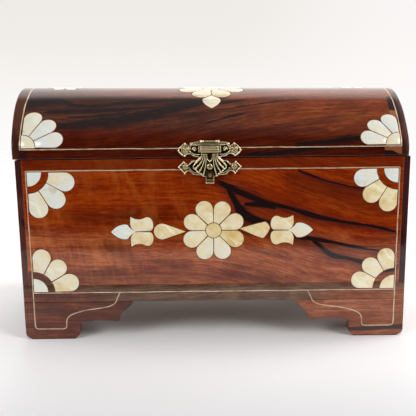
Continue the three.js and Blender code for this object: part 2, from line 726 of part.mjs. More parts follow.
add('lid_shell', lidLayer(-LID_SKIN, 0).subtract(lidCut), rosewood);
const endOutline = CORNERS.map((corner) => onLid(corner.s, -LID_SKIN - GAP));
const lidEnd = (frame) => slab(endOutline, -LID_END, 0, frame);
add('lid_end_left', lidEnd(frameOf([0, 1, 0], [0, 0, 1], [1, 0, 0], [LID_END - hx, 0, 0])), rosewood);
add('lid_end_right', lidEnd(frameOf([0, 1, 0], [0, 0, 1], [1, 0, 0], [hx, 0, 0])), rosewood);

export default group;
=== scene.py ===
"""The looks of a domed jewellery box: figured veneer, shell and wire inlay, and a cast clasp.

Every shape is drawn in millimetres on one face of the box, as (u, v, w): u to the right, v up the
face and w outwards from it. A map for each face then puts it in its place, in metres.
"""

import math
import random
from math import cos, pi, radians, sin
from types import SimpleNamespace

import bmesh
import bpy
from mathutils import Matrix, Vector

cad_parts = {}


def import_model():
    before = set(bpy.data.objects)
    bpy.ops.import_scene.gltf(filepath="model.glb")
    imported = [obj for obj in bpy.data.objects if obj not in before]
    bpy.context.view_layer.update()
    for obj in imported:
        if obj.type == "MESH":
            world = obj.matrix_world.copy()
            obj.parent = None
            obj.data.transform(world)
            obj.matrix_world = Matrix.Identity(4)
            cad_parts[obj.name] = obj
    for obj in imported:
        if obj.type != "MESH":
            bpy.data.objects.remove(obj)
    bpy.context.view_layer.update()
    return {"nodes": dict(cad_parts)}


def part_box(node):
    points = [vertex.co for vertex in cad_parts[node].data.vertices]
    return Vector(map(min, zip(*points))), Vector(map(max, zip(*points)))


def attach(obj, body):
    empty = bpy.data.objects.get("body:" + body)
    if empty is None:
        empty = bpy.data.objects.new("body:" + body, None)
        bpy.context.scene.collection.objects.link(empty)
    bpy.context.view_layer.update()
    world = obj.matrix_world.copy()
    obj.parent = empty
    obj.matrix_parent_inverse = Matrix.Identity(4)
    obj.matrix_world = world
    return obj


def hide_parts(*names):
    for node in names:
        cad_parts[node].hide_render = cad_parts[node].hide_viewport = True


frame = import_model()

MM = 0.001
rng = random.Random(7)


def node_box(node):
    return [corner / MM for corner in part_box(node)]


# ---- sizes, from the frame

WALL_LOW, WALL_HIGH = node_box("wall_front")
HALF_W, HALF_D, RIM = WALL_HIGH.x, -WALL_LOW.y, WALL_HIGH.z
BASE_TOP = WALL_LOW.z
WALL = WALL_HIGH.y - WALL_LOW.y
BASE_BOTTOM = node_box("base_rail_front")[0].z
BASE_RAIL = node_box("base_rail_front")[1].y + HALF_D
LID_Z = node_box("lid_shell")[0].z
LID_HIGH = node_box("lid_shell")[1].z - LID_Z
LID_STRAIGHT = 4
HAUNCH_R = 16
LID_SKIN = 7
LID_END = node_box("lid_end_right")[1].x - node_box("lid_end_right")[0].x
GAP = 0.3

# The lid's section: an upright edge, a haunch and a crown, as arcs that are tangent.
HAUNCH_Y = HALF_D - HAUNCH_R
RISE = LID_HIGH - LID_STRAIGHT
CROWN_R = (HAUNCH_Y**2 + RISE**2 - HAUNCH_R**2) / (2 * (RISE - HAUNCH_R))
CROWN_Z = LID_HIGH - CROWN_R
HAUNCH_TURN = math.atan2(LID_STRAIGHT - CROWN_Z, HAUNCH_Y)
HAUNCH_S = LID_STRAIGHT + HAUNCH_R * HAUNCH_TURN
LID_S = 2 * HAUNCH_S + CROWN_R * (pi - 2 * HAUNCH_TURN)

# What is uneven on the real box.
SETTLED = 0.00028  # how much flatter the crown has settled, for each millimetre to the right
ASIDE = -1.3  # how far the closed lid lies to the right of the box
LEAN = 3.0  # how far the top of the lid's left end leans outwards
LEAN_FROM, LEAN_OVER, LEAN_HIGH = 133, 7, 40

# The frames of wire on each face.
WIRE_X, WIRE_Y = 132.6, 59.6
WIRE_LOW, WIRE_HIGH = 36.2, 127.2
LID_WIRE_X, LID_WIRE_S = 134.4, 7


def lid_point(s):
    """(y, z, angle) at a distance round the lid's section; the angle is the outward normal's."""
    if s > LID_S / 2:
        y, z, angle = lid_point(LID_S - s)
        return -y, z, pi - angle
    if s <= LID_STRAIGHT:
        return -HALF_D, s, pi
    if s <= HAUNCH_S:
        angle = pi - (s - LID_STRAIGHT) / HAUNCH_R
        return HAUNCH_R * cos(angle) - HAUNCH_Y, LID_STRAIGHT + HAUNCH_R * sin(angle), angle
    angle = pi - HAUNCH_TURN - (s - HAUNCH_S) / CROWN_R
    return CROWN_R * cos(angle), CROWN_Z + CROWN_R * sin(angle), angle


def haunch_s(up):
    """The distance round the section at a height on the haunch."""
    return LID_STRAIGHT + HAUNCH_R * math.asin((up - LID_STRAIGHT) / HAUNCH_R)


def lean(u, z):
    return LEAN * min(max((-LEAN_FROM - u) / LEAN_OVER, 0), 1) * (max(z, 0) / LEAN_HIGH) ** 1.5


def on_lid(u, v, w):
    y, z, angle = lid_point(v)
    z += w * sin(angle)
    if z > LID_STRAIGHT:
        z = LID_STRAIGHT + (z - LID_STRAIGHT) * (1 - SETTLED * (u + 100))
    return u + ASIDE - lean(u, z), y + w * cos(angle), LID_Z + z


FACES = {
    "front": lambda u, v, w: (u, -HALF_D - w, v),
    "back": lambda u, v, w: (-u, HALF_D + w, v),
    "right": lambda u, v, w: (HALF_W + w, u, v),
    "left": lambda u, v, w: (-HALF_W - w, -u, v),
    "lid": on_lid,
}


def unmoved(x, y, z):
    return x, y, z


# ---- materials as formulas


def srgb(*levels):
    linear = [(c / 255 / 12.92) if c < 11 else ((c / 255 + 0.055) / 1.055) ** 2.4 for c in levels]
    return (*linear, 1.0)


def operation(kind, swapped=False):
    def apply(self, other):
        values = (other, self) if swapped else (self, other)
        return self.graph.math(kind, *values)
    return apply


class Value:
    """An output of a shader node, which adds and multiplies as a number does."""

    def __init__(self, graph, socket):
        self.graph = graph
        self.socket = socket

    __add__ = __radd__ = operation("ADD")
    __sub__, __rsub__ = operation("SUBTRACT"), operation("SUBTRACT", swapped=True)
    __mul__ = __rmul__ = operation("MULTIPLY")
    __truediv__ = operation("DIVIDE")


class Graph:
    """One material and the nodes that make it. Its colour is laid down in layers."""

    def __init__(self, name):
        self.material = bpy.data.materials.new(name)
        self.material.use_nodes = True
        self.tree = self.material.node_tree
        self.shader = self.tree.nodes["Principled BSDF"]
        self.colour = None

    def feed(self, socket, value):
        if isinstance(value, Value):
            self.tree.links.new(value.socket, socket)
        else:
            socket.default_value = value

    def node(self, kind, inputs, output=0, **settings):
        node = self.tree.nodes.new("ShaderNode" + kind)
        for name, value in settings.items():
            setattr(node, name, value)
        for name, value in inputs.items():
            self.feed(node.inputs[name], value)
        return Value(self, node.outputs[output])

    def math(self, operation, *values):
        return self.node("Math", dict(enumerate(values)), operation=operation)

    def absolute(self, value):
        return self.math("ABSOLUTE", value)

    def smooth(self, value, low, high):
        """0 below low and 1 above high, or the other way round if low is the larger."""
        inputs = {"Value": value, "From Min": low, "From Max": high}
        return self.node("MapRange", inputs, interpolation_type="SMOOTHSTEP")

    def mix(self, share, a, b):
        return self.node("Mix", {0: share, 6: a, 7: b}, output=2, data_type="RGBA")

    def over(self, share, *levels):
        """Lays one more colour over those before, where share is above 0."""
        self.colour = self.mix(share, self.colour, srgb(*levels))

    def split(self, vector):
        node = self.tree.nodes.new("ShaderNodeSeparateXYZ")
        self.feed(node.inputs[0], vector)
        return [Value(self, out) for out in node.outputs]

    def place(self, kind="Object", unit=MM):
        """The object's own coordinates, in millimetres."""
        return [at / unit for at in self.split(self.node("TexCoord", {}, output=kind))]

    def stored(self, name):
        return self.split(self.node("Attribute", {}, output="Vector", attribute_name=name))

    def noise(self, x, y, z, detail=2.0, rough=0.5, distortion=0.0):
        inputs = {"Vector": self.node("CombineXYZ", {"X": x, "Y": y, "Z": z}), "Scale": 1.0,
                  "Detail": detail, "Roughness": rough, "Distortion": distortion}
        return self.node("TexNoise", inputs)

    def curve(self, value, points):
        """A smooth line through (input, output) points, all between 0 and 1."""
        node = self.tree.nodes.new("ShaderNodeFloatCurve")
        line = node.mapping.curves[0].points
        for x, y in points[1:-1]:
            line.new(x, y)
        line[0].location = points[0]
        line[-1].location = points[-1]
        node.mapping.update()
        self.feed(node.inputs["Value"], value)
        return Value(self, node.outputs[0])

    def ramp(self, value, first, last, *others):
        """A colour for each value: the outer stops come first, as (position, colour)."""
        node = self.tree.nodes.new("ShaderNodeValToRGB")
        elements = node.color_ramp.elements
        for element, stop in zip(elements, (first, last)):
            element.position, element.color = stop
        for position, colour in others:
            elements.new(position).color = colour
        self.feed(node.inputs[0], value)
        return Value(self, node.outputs[0])

    def bump(self, height, distance):
        inputs = {"Height": height, "Distance": distance * MM, "Strength": 1.0}
        self.feed(self.shader.inputs["Normal"], self.node("Bump", inputs))

    def shade(self, **inputs):
        """Sets the shader's sockets, by names with spaces as underscores."""
        for name, value in {"Base_Color": self.colour, **inputs}.items():
            self.feed(self.shader.inputs[name.replace("_", " ")], value)
        return self.material


# ---- wood

# Each palette is the deep, the middle and the light tone of a wood.
ROSEWOOD = (82, 18, 4), (130, 41, 5), (164, 70, 13)
LIVELY = (104, 42, 22), (146, 72, 42), (186, 108, 66)
LID_DARK = (38, 18, 12), (66, 32, 20), (106, 58, 38)
LID_WARM = (68, 22, 8), (110, 46, 15), (156, 82, 36)
LID_LOW = (44, 9, 3), (68, 18, 5), (94, 34, 12)
BASE = (66, 38, 26), (96, 66, 48), (124, 94, 74)
FEET = (60, 22, 11), (90, 38, 20), (134, 72, 44)
PALE_FEET = (92, 40, 20), (132, 68, 40), (176, 110, 76)
INNER = (96, 62, 36), (136, 94, 58), (160, 116, 76)
BLACK_VEIN = (22, 14, 15)


def vein(g, along, across, points, soft, wider):
    """How black a vein is, from listed (along, across, half width) points in millimetres."""
    starts, heights, widths = zip(*points)
    x0, x1 = starts[0], starts[-1]
    low, high, wide = min(heights) - 1, max(heights) + 1, max(widths)
    t = (along - x0) / (x1 - x0)
    share = [(x - x0) / (x1 - x0) for x in starts]
    line = g.curve(t, [(s, (h - low) / (high - low)) for s, h in zip(share, heights)])
    width = g.curve(t, [(s, w / wide) for s, w in zip(share, widths)])
    distance = g.absolute(across - (line * (high - low) + low)) / (width * (wide * wider) + 0.05)
    ends = g.smooth(t, -0.03, 0.04) * g.smooth(t, 1.03, 0.96)
    return g.smooth(distance, 1 + soft, 1 - soft) * ends


def veins(g, along, across, lines, soft, wider=1.0):
    black = 0.0
    for points in lines:
        black = g.math("MAXIMUM", black, vein(g, along, across, points, soft, wider))
    return black


def figure(g, along, across, depth, seed):
    """The shared figure of a sawn veneer: broad bands, fine fibres, pores and ring lines."""
    drift = g.noise(along * 0.007, across * 0.02, depth * 0.02 + seed)
    line = across + (drift - 0.5) * 16
    bands = g.noise(along * 0.005, line * 0.1, depth * 0.1 + seed, 3.0, 0.55)
    streaks = g.noise(along * 0.02, line * 0.5, depth * 0.5 + seed, 4.0, 0.7)
    hairs = g.noise(along * 0.11, line * 1.0, depth + seed, 4.0, 0.8)
    cloud = g.noise(along * 0.045, line * 0.06, depth * 0.05 + seed + 3, 3.0, 0.6)
    rings = g.math("PINGPONG", bands * 9 + streaks * 0.5, 1.0)
    pores = g.noise(along * 0.16, line * 1.5, depth * 1.5 + seed)
    return SimpleNamespace(bands=bands, streaks=streaks, hairs=hairs, cloud=cloud,
                           rings=g.smooth(rings, 0.2, 0.0), pores=g.smooth(pores, 0.56, 0.68))


def wood_colour(g, f, palette, contrast=1.0):
    tone = f.bands * 0.22 + f.streaks * 0.26 + f.hairs * 0.34 + f.cloud * 0.18
    spread = 0.1 / contrast
    deep, body, light = (srgb(*levels) for levels in palette)
    colour = g.ramp(tone, (0.5 - spread, deep), (0.5 + spread, light), (0.5, body))
    return g.mix(f.rings * 0.25 + f.pores * 0.5, colour, deep)


def varnish(g, f, gloss=0.07, coat=1.0):
    """A thick clear varnish over the wood, which follows its pores only faintly."""
    g.bump(f.hairs * 0.5 + f.streaks * 0.5 - f.pores * 0.6, 0.012)
    return g.shade(Roughness=0.55, Specular_IOR_Level=0.0, Coat_Weight=coat, Coat_Roughness=gloss,
                   Coat_IOR=1.5)


# Veins of the front veneer, as (x, z, half width). They all fall towards the right.
FRONT_VEINS = [
    [(2, 119, 1.8), (12, 114, 3), (24, 108, 3.2), (40, 102, 2), (56, 98, 1.7), (69, 93.5, 2.4),
     (92, 88, 1.5), (112, 84.5, 1.2), (134, 79.5, 1.4)],
    [(9, 114, 1.6), (14, 107, 5.6), (18, 99, 7.4), (25, 92.5, 5.6), (36, 88, 3.4), (52, 85, 1.8)],
    [(22, 101.6, 0.8), (32, 101, 2.3), (45, 98.6, 1.6)],
    [(60, 126, 0.6), (76, 119.5, 0.8), (92, 115, 0.8), (108, 112, 0.7), (118, 111, 0.3)],
    [(54, 78, 0.8), (70, 75.5, 2.2), (88, 72, 1.4), (104, 68.5, 1.3), (122, 65.5, 0.7)],
    [(70, 76, 1.4), (77, 70, 2.6), (86, 63, 2.4), (98, 60, 1.6), (108, 57, 2.2), (116, 52, 1.4)],
    [(112, 52, 0.7), (122, 51, 2.2), (134, 53, 2.4)],
]
FRONT_SMUDGES = [
    [(-46, 60, 0.8), (-30, 56.5, 2.4), (-16, 53, 1)],
    [(-56, 52, 1), (-14, 49, 4), (30, 47, 5), (72, 43, 2)],
    [(-18, 49, 0.5), (-10, 45.5, 2.2), (2, 42, 1.5)],
    [(6, 58, 0.5), (16, 55, 1.8), (30, 52, 0.5)],
    [(22, 70, 0.5), (36, 66, 2), (58, 60, 0.7)],
    [(14, 92, 1), (40, 80, 5), (70, 72, 1)],
    [(50, 121, 2), (88, 108, 8.5), (130, 98, 6)],
    [(-80, 74, 1), (-66, 66, 7), (-52, 58, 2)],
    [(-112, 47, 1), (-84, 48, 7), (-50, 46, 5), (-16, 44, 2)],
    [(-110, 96, 1), (-80, 92, 5), (-50, 98, 1)],
]


def front_wood():
    g = Graph("veneer_front")
    x, z, depth = g.stored("grain")
    f = figure(g, x, z + g.smooth(x, -20, 120) * 34, depth, 3.0)
    flame = g.noise(x * 0.09 + z * 0.03, z * 0.035, 5.0)
    weave = g.noise(x * 0.5, z * 0.12, 6.0)
    edge = z + (g.noise(x * 0.02, z * 0.03, 1.0) - 0.5) * 24 + g.smooth(x, -130, -30) * 12 - 12
    g.colour = g.mix(g.smooth(edge, 84, 66), wood_colour(g, f, ROSEWOOD),
                     wood_colour(g, f, LIVELY, 1.3))
    lit = g.smooth(flame + (weave - 0.5) * 0.3, 0.44, 0.74) * g.smooth(x, 30, -60)
    g.over(lit * 0.26, 190, 106, 44)
    flame_left = g.noise(x * 0.3 + z * 0.05, z * 0.04, 8.0)
    corner = g.smooth(edge, 80, 60) * g.smooth(x, -22, -60)
    g.over(g.smooth(flame_left, 0.5, 0.7) * corner * 0.2, 92, 42, 30)
    g.over(g.smooth(flame_left, 0.48, 0.32) * corner * 0.28, 192, 114, 70)
    ragged = z + (f.streaks - 0.5) * 3 + (f.hairs - 0.5) * 0.8
    g.over(veins(g, x, ragged, FRONT_SMUDGES, 0.9) * 0.45, 62, 22, 10)
    g.over(veins(g, x, ragged + 1.2, FRONT_VEINS, 0.8, 2.2) * 0.5, 66, 24, 22)
    g.over(veins(g, x, ragged, FRONT_VEINS, 0.35, 0.8) * 0.97, *BLACK_VEIN)
    # A dark ring between each fan and its quarter round.
    ends = g.absolute(x) - WIRE_X
    ring = g.math("SQRT", ends * ends + (z - WIRE_LOW) * (z - WIRE_LOW)) + (weave - 0.5) * 5
    g.over(g.smooth(ring, 17.5, 15.5) * g.smooth(x, 134, -40) * 0.85, 64, 30, 26)
    # The margin above the wire is darker, and the strips outside it are of other veneers.
    g.over(g.smooth(z, WIRE_HIGH, WIRE_HIGH + 0.2) * 0.6, 88, 26, 6)
    inside = g.colour
    patches = g.noise(x * 0.1, z * 0.05, 9.0, 3.0)
    left = g.smooth(x, 10, -10) * g.smooth(z, 112, 106)
    g.colour = g.mix(left, srgb(50, 22, 25), srgb(76, 42, 38))
    g.over(g.smooth(patches, 0.52, 0.66), 22, 12, 14)
    g.over(f.hairs * 0.35, 88, 42, 34)
    g.colour = g.mix(g.smooth(g.absolute(x), 135.15, 135.35), inside, g.colour)
    seam = g.smooth(g.absolute(g.absolute(x) - 135.2), 0.3, 0.12)
    g.over(seam * 0.4, 150, 96, 66)
    return varnish(g, f)


def plain_wood(name, palette, seed, contrast=1.0, black=0.0, gloss=0.07, coat=1.0):
    """Veneer with no placed veins: its black streaks are where the bands are widest."""
    g = Graph(name)
    along, across, depth = g.stored("grain")
    f = figure(g, along, across, depth, seed)
    g.colour = wood_colour(g, f, palette, contrast)
    if black:
        far = g.noise(along * 0.006, across * 0.07, depth * 0.05 + seed + 4, 3.0, distortion=0.4)
        g.over(g.smooth(far + (f.streaks - 0.5) * 0.12, 0.58, 0.64) * black, *BLACK_VEIN)
    return varnish(g, f, gloss, coat)


def low_wood(name, seed):
    """The veneer of the feet, which is lighter on the right, and what the others need of it."""
    g = Graph(name)
    f = figure(g, *g.stored("grain"), seed)
    x, _, z = g.place()
    feet = g.mix(g.smooth(x, -20, 20), wood_colour(g, f, FEET), wood_colour(g, f, PALE_FEET))
    return g, f, x, z, feet


def base_wood():
    """The board round the base: grey in the middle and brown over the feet."""
    g, f, x, z, feet = low_wood("veneer_base", 23.0)
    ends = g.smooth(g.absolute(x) + (f.streaks - 0.5) * 40, 66, 96)
    ends = ends * g.smooth(z + (f.hairs - 0.5) * 4, 38.5, 35)
    g.colour = g.mix(ends * 0.85, wood_colour(g, f, BASE, 1.2), feet)
    return varnish(g, f, 0.12)


def foot_wood():
    """The feet: one dark streak near the right one's sole, and a painted shade along the bottom
    where they meet the floor.
    """
    g, f, x, z, feet = low_wood("veneer_feet", 29.0)
    g.colour = feet
    streak = [(97, 5.4, 1), (108, 5.6, 1.7), (124, 6.2, 1.6), (141, 7, 1.9)]
    g.over(veins(g, x, z + (f.streaks - 0.5) * 3, [streak], 0.5) * 0.92, 34, 20, 19)
    # Painted shade: darker over the lowest 1.6 mm, where the feet meet the floor.
    g.over(g.smooth(z, 1.6, 0.5) * 0.6, 30, 18, 14)
    return varnish(g, f, 0.12)


# Streaks of the lid's veneer, as (x, distance round the lid, half width).
LID_VEINS = [
    [(-136, 45, 3), (-127, 52, 6), (-112, 54, 5), (-104, 50.5, 3), (-88, 47, 2.2),
     (-65, 50.5, 2.4), (-36, 54.5, 2.8), (-8, 57.5, 1.4)],
    [(-116, 25.5, 1.6), (-98, 26.5, 3.8), (-84, 29, 5.2), (-65, 32, 6.4), (-45, 37, 6.6),
     (-29, 43.5, 6.6), (-14, 49.5, 6.4), (0, 55, 4), (14, 60, 1.4)],
    [(-120, 40, 1), (-84, 41.5, 3), (-58, 43, 2), (-36, 48, 1)],
    [(-104, 34, 0.6), (-80, 36, 1.6), (-60, 39, 0.8)],
    [(2, 49, 1.4), (12, 52, 2.2), (26, 55, 1)],
    [(6, 42, 0.3), (26, 47, 0.9), (50, 53, 1), (66, 56, 0.4)],
    [(-4, 27, 0.4), (10, 33, 1.2), (26, 38, 0.5)],
    [(60, 9, 0.9), (78, 10.5, 2.2), (96, 12.5, 3), (110, 14, 2.2)],
    [(22, 1, 1.2), (46, 2.6, 1.8), (64, 4.8, 1.4), (84, 6.2, 0.4)],
]
LID_SMUDGES = [
    [(44, 25, 1), (78, 29, 3.6), (96, 34, 3), (114, 38, 1.6)],
    [(30, 20, 1), (60, 22, 3), (84, 20, 1.4)],
    [(26, 58, 1), (54, 61, 1.6), (70, 64, 0.6)],
]


def lid_wood():
    g = Graph("veneer_lid")
    x, s, depth = g.stored("grain")
    rise = g.smooth(x, -120, 120) * -34
    f = figure(g, x, s + rise, depth, 11.0)
    side = x + (g.noise(x * 0.01, s * 0.05, 2.0) - 0.5) * 60 + g.smooth(s, 54, 66) * 120
    upper = g.mix(g.smooth(side, -20, 80), wood_colour(g, f, LID_DARK), wood_colour(g, f, LID_WARM))
    g.colour = g.mix(g.smooth(s + x * 0.05, 32, 14), upper, wood_colour(g, f, LID_LOW))
    ragged = s + (f.streaks - 0.5) * 5 + (f.hairs - 0.5) * 3
    g.over(veins(g, x, ragged, LID_SMUDGES, 0.9) * 0.5, 48, 16, 10)
    # Placed streaks in front, and the veneer's own ones over the crest and behind it.
    far = g.noise(x * 0.008, (s + rise) * 0.11, 30.0, 3.0, distortion=0.3)
    own = g.smooth(far + (f.streaks - 0.5) * 0.12, 0.6, 0.66) * g.smooth(s, 76, 92)
    black = g.math("MAXIMUM", veins(g, x, ragged, LID_VEINS, 0.6), own)
    thin = 1 - g.smooth(f.hairs, 0.5, 0.72) * 0.45
    g.over(black * thin * 0.95, 24, 17, 17)
    # Mended patches at the right end, above the fan and under the wire, and one at the left.
    spotted = g.noise(x * 0.12, s * 0.14, 15.0) - 0.5
    tail = g.smooth(x - s * 0.06, 127, 127.5) * g.smooth(g.absolute(s - 47), 14.5, 13.5)
    patch = g.mix(g.smooth(s + spotted * 12, 37, 41), srgb(142, 88, 54), srgb(24, 17, 17))
    g.colour = g.mix(tail * 0.9, g.colour, patch)
    low_edge = g.smooth(s, 6.6, 6)
    g.over(g.smooth(x, -128, -130) * low_edge * 0.85, 44, 18, 20)
    under = g.smooth(s + spotted * 5 + g.smooth(x, 124, 136) * 2, 3, 3.8)
    patch = g.mix(under, srgb(24, 18, 20), srgb(142, 84, 50))
    right = g.smooth(x + f.hairs * 0.6, 122.6, 123.2)
    inside = g.mix(right * low_edge * 0.85, g.colour, patch)
    # The band outside the wire, lighter on the right half, with a painted reflection in pinkish
    # grey on its outer edge at the right end.
    patches = g.noise(x * 0.1, s * 0.03, 21.0, 3.0)
    right = g.smooth(x, -10, 10)
    grey = right * g.smooth(g.absolute(s - 34), 34, 22)
    g.colour = g.mix(right, srgb(62, 28, 16), srgb(100, 50, 28))
    g.over(g.smooth(patches + grey * 0.09, 0.5, 0.56), 28, 17, 15)
    # Painted reflection: pinkish grey on the band's outer edge at the right end, towards the front.
    g.over(grey * g.smooth(g.absolute(x), 136, 139) * 0.75, 104, 84, 82)
    g.over(f.hairs * 0.35, 116, 66, 40)
    g.over(g.smooth(s + g.absolute(x - 137) * 0.2, 64, 30) * 0.5, 44, 20, 20)
    outside = g.smooth(g.absolute(x), LID_WIRE_X + 0.2, LID_WIRE_X + 0.4)
    g.colour = g.mix(outside, inside, g.colour)
    return varnish(g, f, 0.05)


WOOD = {
    "front": front_wood(),
    "lid": lid_wood(),
    "wall": plain_wood("veneer_walls", ROSEWOOD, 17.0, contrast=1.1, black=0.9),
    "base": base_wood(),
    "foot": foot_wood(),
    "inner": plain_wood("inner_wood", INNER, 31.0, gloss=0.4, coat=0.15),
}

# ---- shell, glue, wire and metal


def shell_material():
    """Polished shell: each tile has a tone of its own and curved growth lines, with a painted sheen
    in cloudy patches and a painted shade on tiles that face up.
    """
    g = Graph("shell")
    u, v, tone = g.stored("tile")
    turn = tone * 40
    slant = u * 0.6 + v * 0.8 + g.noise(u * 0.08 + turn, v * 0.08, turn) * 14
    lines = g.noise(slant * 1.1, u * 0.05 + turn, 2.0, 3.0, 0.6)
    cloud = g.noise(u * 0.13, v * 0.13 + turn, turn, 3.0, 0.55)
    warmth = tone + (cloud - 0.5) * 0.8 + (lines - 0.5) * 0.4
    g.colour = g.ramp(warmth, (0.05, srgb(226, 232, 228)), (0.95, srgb(196, 146, 62)),
                      (0.35, srgb(236, 222, 184)), (0.65, srgb(222, 194, 128)))
    # A painted sheen: bright cloudy patches stand in for light reflected within the shell.
    painted_sheen = g.noise(slant * 0.16, v * 0.05 + turn, 7.0, 1.0)
    g.over(g.smooth(painted_sheen, 0.6, 0.72) * 0.55, 252, 250, 226)
    rust = g.noise(u * 0.1 + turn * 3, v * 0.1, 11.0, 2.0, 0.6)
    g.over(g.smooth(rust, 0.58, 0.74) * 0.45, 200, 160, 84)
    shade = g.noise(u * 0.2 + turn, v * 0.2, 3.0)
    g.over(g.smooth(shade, 0.6, 0.8) * 0.45, 180, 176, 138)
    # Painted shade: tiles that face up are darker, against the stronger light that falls on them.
    up = g.split(g.node("NewGeometry", {}, output="Normal"))[2]
    g.over(g.smooth(up, 0.0, 0.9) * 0.4, 166, 162, 150)
    tint = g.noise(slant * 0.3, turn, 9.0, 1.0)
    g.over(g.smooth(tint, 0.56, 0.7) * 0.07, 232, 206, 210)
    g.bump(lines * 0.6 + cloud * 0.4, 0.02)
    return g.shade(Roughness=0.4, Specular_IOR_Level=0.2, Coat_Weight=1.0, Coat_Roughness=0.06,
                   Coat_IOR=1.5)


def glue_material():
    g = Graph("glue_line")
    u, v, _ = g.stored("tile")
    speck = g.noise(u * 0.9, v * 0.9, 1.0)
    g.colour = g.mix(g.smooth(speck, 0.45, 0.7), srgb(88, 36, 8), srgb(136, 74, 32))
    return g.shade(Roughness=0.6, Specular_IOR_Level=0.0)


def wire_material():
    g = Graph("wire")
    u, v, _ = g.stored("tile")
    tarnish = g.noise(u * 0.12, v * 0.12, 4.0, 3.0, 0.6)
    g.colour = g.ramp(tarnish, (0.3, srgb(158, 124, 94)), (0.7, srgb(226, 208, 180)),
                      (0.5, srgb(202, 178, 148)))
    return g.shade(Metallic=0.3, Roughness=0.35, Coat_Weight=0.6, Coat_Roughness=0.1)


def brass_material():
    """Cast brass: dark in the hollows, olive on the flats and pale on what stands out, partly
    rubbed brass and partly a painted highlight.
    """
    g = Graph("antique_brass")
    x, y, z = g.place()
    relief = g.node("Attribute", {}, output="Fac", attribute_name="relief")
    mottle = g.noise(x * 0.9, y * 0.9, z * 0.9, 3.0)
    bent = g.node("NewGeometry", {}, output="Pointiness") + (mottle - 0.5) * 0.02
    # Convex edges: pale, less metallic and smoother; rubbed brass with a painted highlight.
    edge = g.smooth(bent, 0.505, 0.53)
    high = g.smooth(relief + (mottle - 0.5) * 0.4, -0.1, 0.6)
    g.colour = g.mix(high, srgb(38, 26, 14), srgb(160, 126, 70))
    g.over(g.smooth(bent, 0.495, 0.46), 16, 10, 7)
    g.over(edge, 255, 240, 196)
    g.bump(mottle, 0.03)
    return g.shade(Metallic=0.92 - edge * 0.4, Roughness=0.34 - edge * 0.14)


SHELL, GLUE, WIRE, BRASS = shell_material(), glue_material(), wire_material(), brass_material()

# ---- meshes


def finish_piece(name, bm, materials, body, replaces=(), sharp=35):
    """Makes an object of a mesh drawn in millimetres, and ties it to its CAD body."""
    piece = linked(name, bm)
    for material in materials:
        piece.data.materials.append(material)
    piece.data.shade_smooth()
    piece.data.set_sharp_from_angle(angle=radians(sharp))
    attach(piece, body)
    if replaces:
        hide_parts(*replaces)


def linked(name, data):
    """A new object in the scene, of its data or of a mesh drawn in millimetres."""
    if isinstance(data, bmesh.types.BMesh):
        bm, data = data, bpy.data.meshes.new(name)
        bmesh.ops.recalc_face_normals(bm, faces=bm.faces)
        for vert in bm.verts:
            vert.co *= MM
        bm.to_mesh(data)
        bm.free()
    piece = bpy.data.objects.new(name, data)
    bpy.context.scene.collection.objects.link(piece)
    return piece


def vector_layer(bm, name):
    layers = bm.verts.layers.float_vector
    return layers.get(name) or layers.new(name)


def store(bm, name, rule=unmoved):
    """A vector for each point, such as the direction of the grain, worked out by a rule."""
    layer = vector_layer(bm, name)
    for vert in bm.verts:
        vert[layer] = rule(*vert.co)


def put(verts, place):
    for vert in verts:
        vert.co = Vector(place(*vert.co))


def loft(bm, rows, closed=False):
    """Faces between each closed row of points and the next one."""
    faces = []
    for a, b in zip(rows, rows[1:] + rows[:int(closed)]):
        for i in range(len(a)):
            j = (i + 1) % len(a)
            faces.append(bm.faces.new((a[i], a[j], b[j], b[i])))
    return faces


def stack(bm, outline, rings, to=unmoved):
    """An outline made solid through rings of (height, inset). Its two ends are the first faces."""
    rows = [[bm.verts.new(to(u, v, w)) for u, v in grown(outline, -inset)] for w, inset in rings]
    return [bm.faces.new(rows[0]), bm.faces.new(rows[-1])] + loft(bm, rows)


def rounded(high, edge, steps):
    """The rings of an edge that is rounded off up to a height."""
    turns = [pi / 2 * i / steps for i in range(steps + 1)]
    return [(high - edge * (1 - sin(turn)), edge * (1 - cos(turn))) for turn in turns]


def prism(bm, outline, low, high, place, edge=0.0, material=0, tile=0.0):
    """An outline (u, v) made solid between two heights, with its upper edge rounded off."""
    layer = vector_layer(bm, "tile")
    faces = stack(bm, outline, [(low, 0), *(rounded(high, edge, 2) if edge else [(high, 0)])])
    new = {vert for face in faces for vert in face.verts}
    for vert in new:
        vert[layer] = (vert.co.x, vert.co.y, tile)
    for face in faces:
        face.material_index = material
        face.normal_update()
    if place is on_lid:
        new |= slice_round(bm, faces, 2.0)
    else:
        bmesh.ops.triangulate(bm, faces=faces[:2])
    put(new, place)


def slice_round(bm, faces, step):
    """Cuts flat faces into strips, so that they can follow the lid's curve."""
    vs = [vert.co.y for face in faces for vert in face.verts]
    made = set()
    geometry = list({e for f in faces for e in f.edges}) + list(faces)
    geometry += list({v for f in faces for v in f.verts})
    at = math.ceil(min(vs) / step) * step
    while at < max(vs) - 1e-4:
        cut = bmesh.ops.bisect_plane(bm, geom=geometry, plane_co=(0, at, 0), plane_no=(0, 1, 0),
                                     dist=1e-4)
        made |= {g for g in cut["geom_cut"] if isinstance(g, bmesh.types.BMVert)}
        geometry = cut["geom"]
        at += step
    bmesh.ops.triangulate(bm, faces=[g for g in geometry if isinstance(g, bmesh.types.BMFace)])
    return made


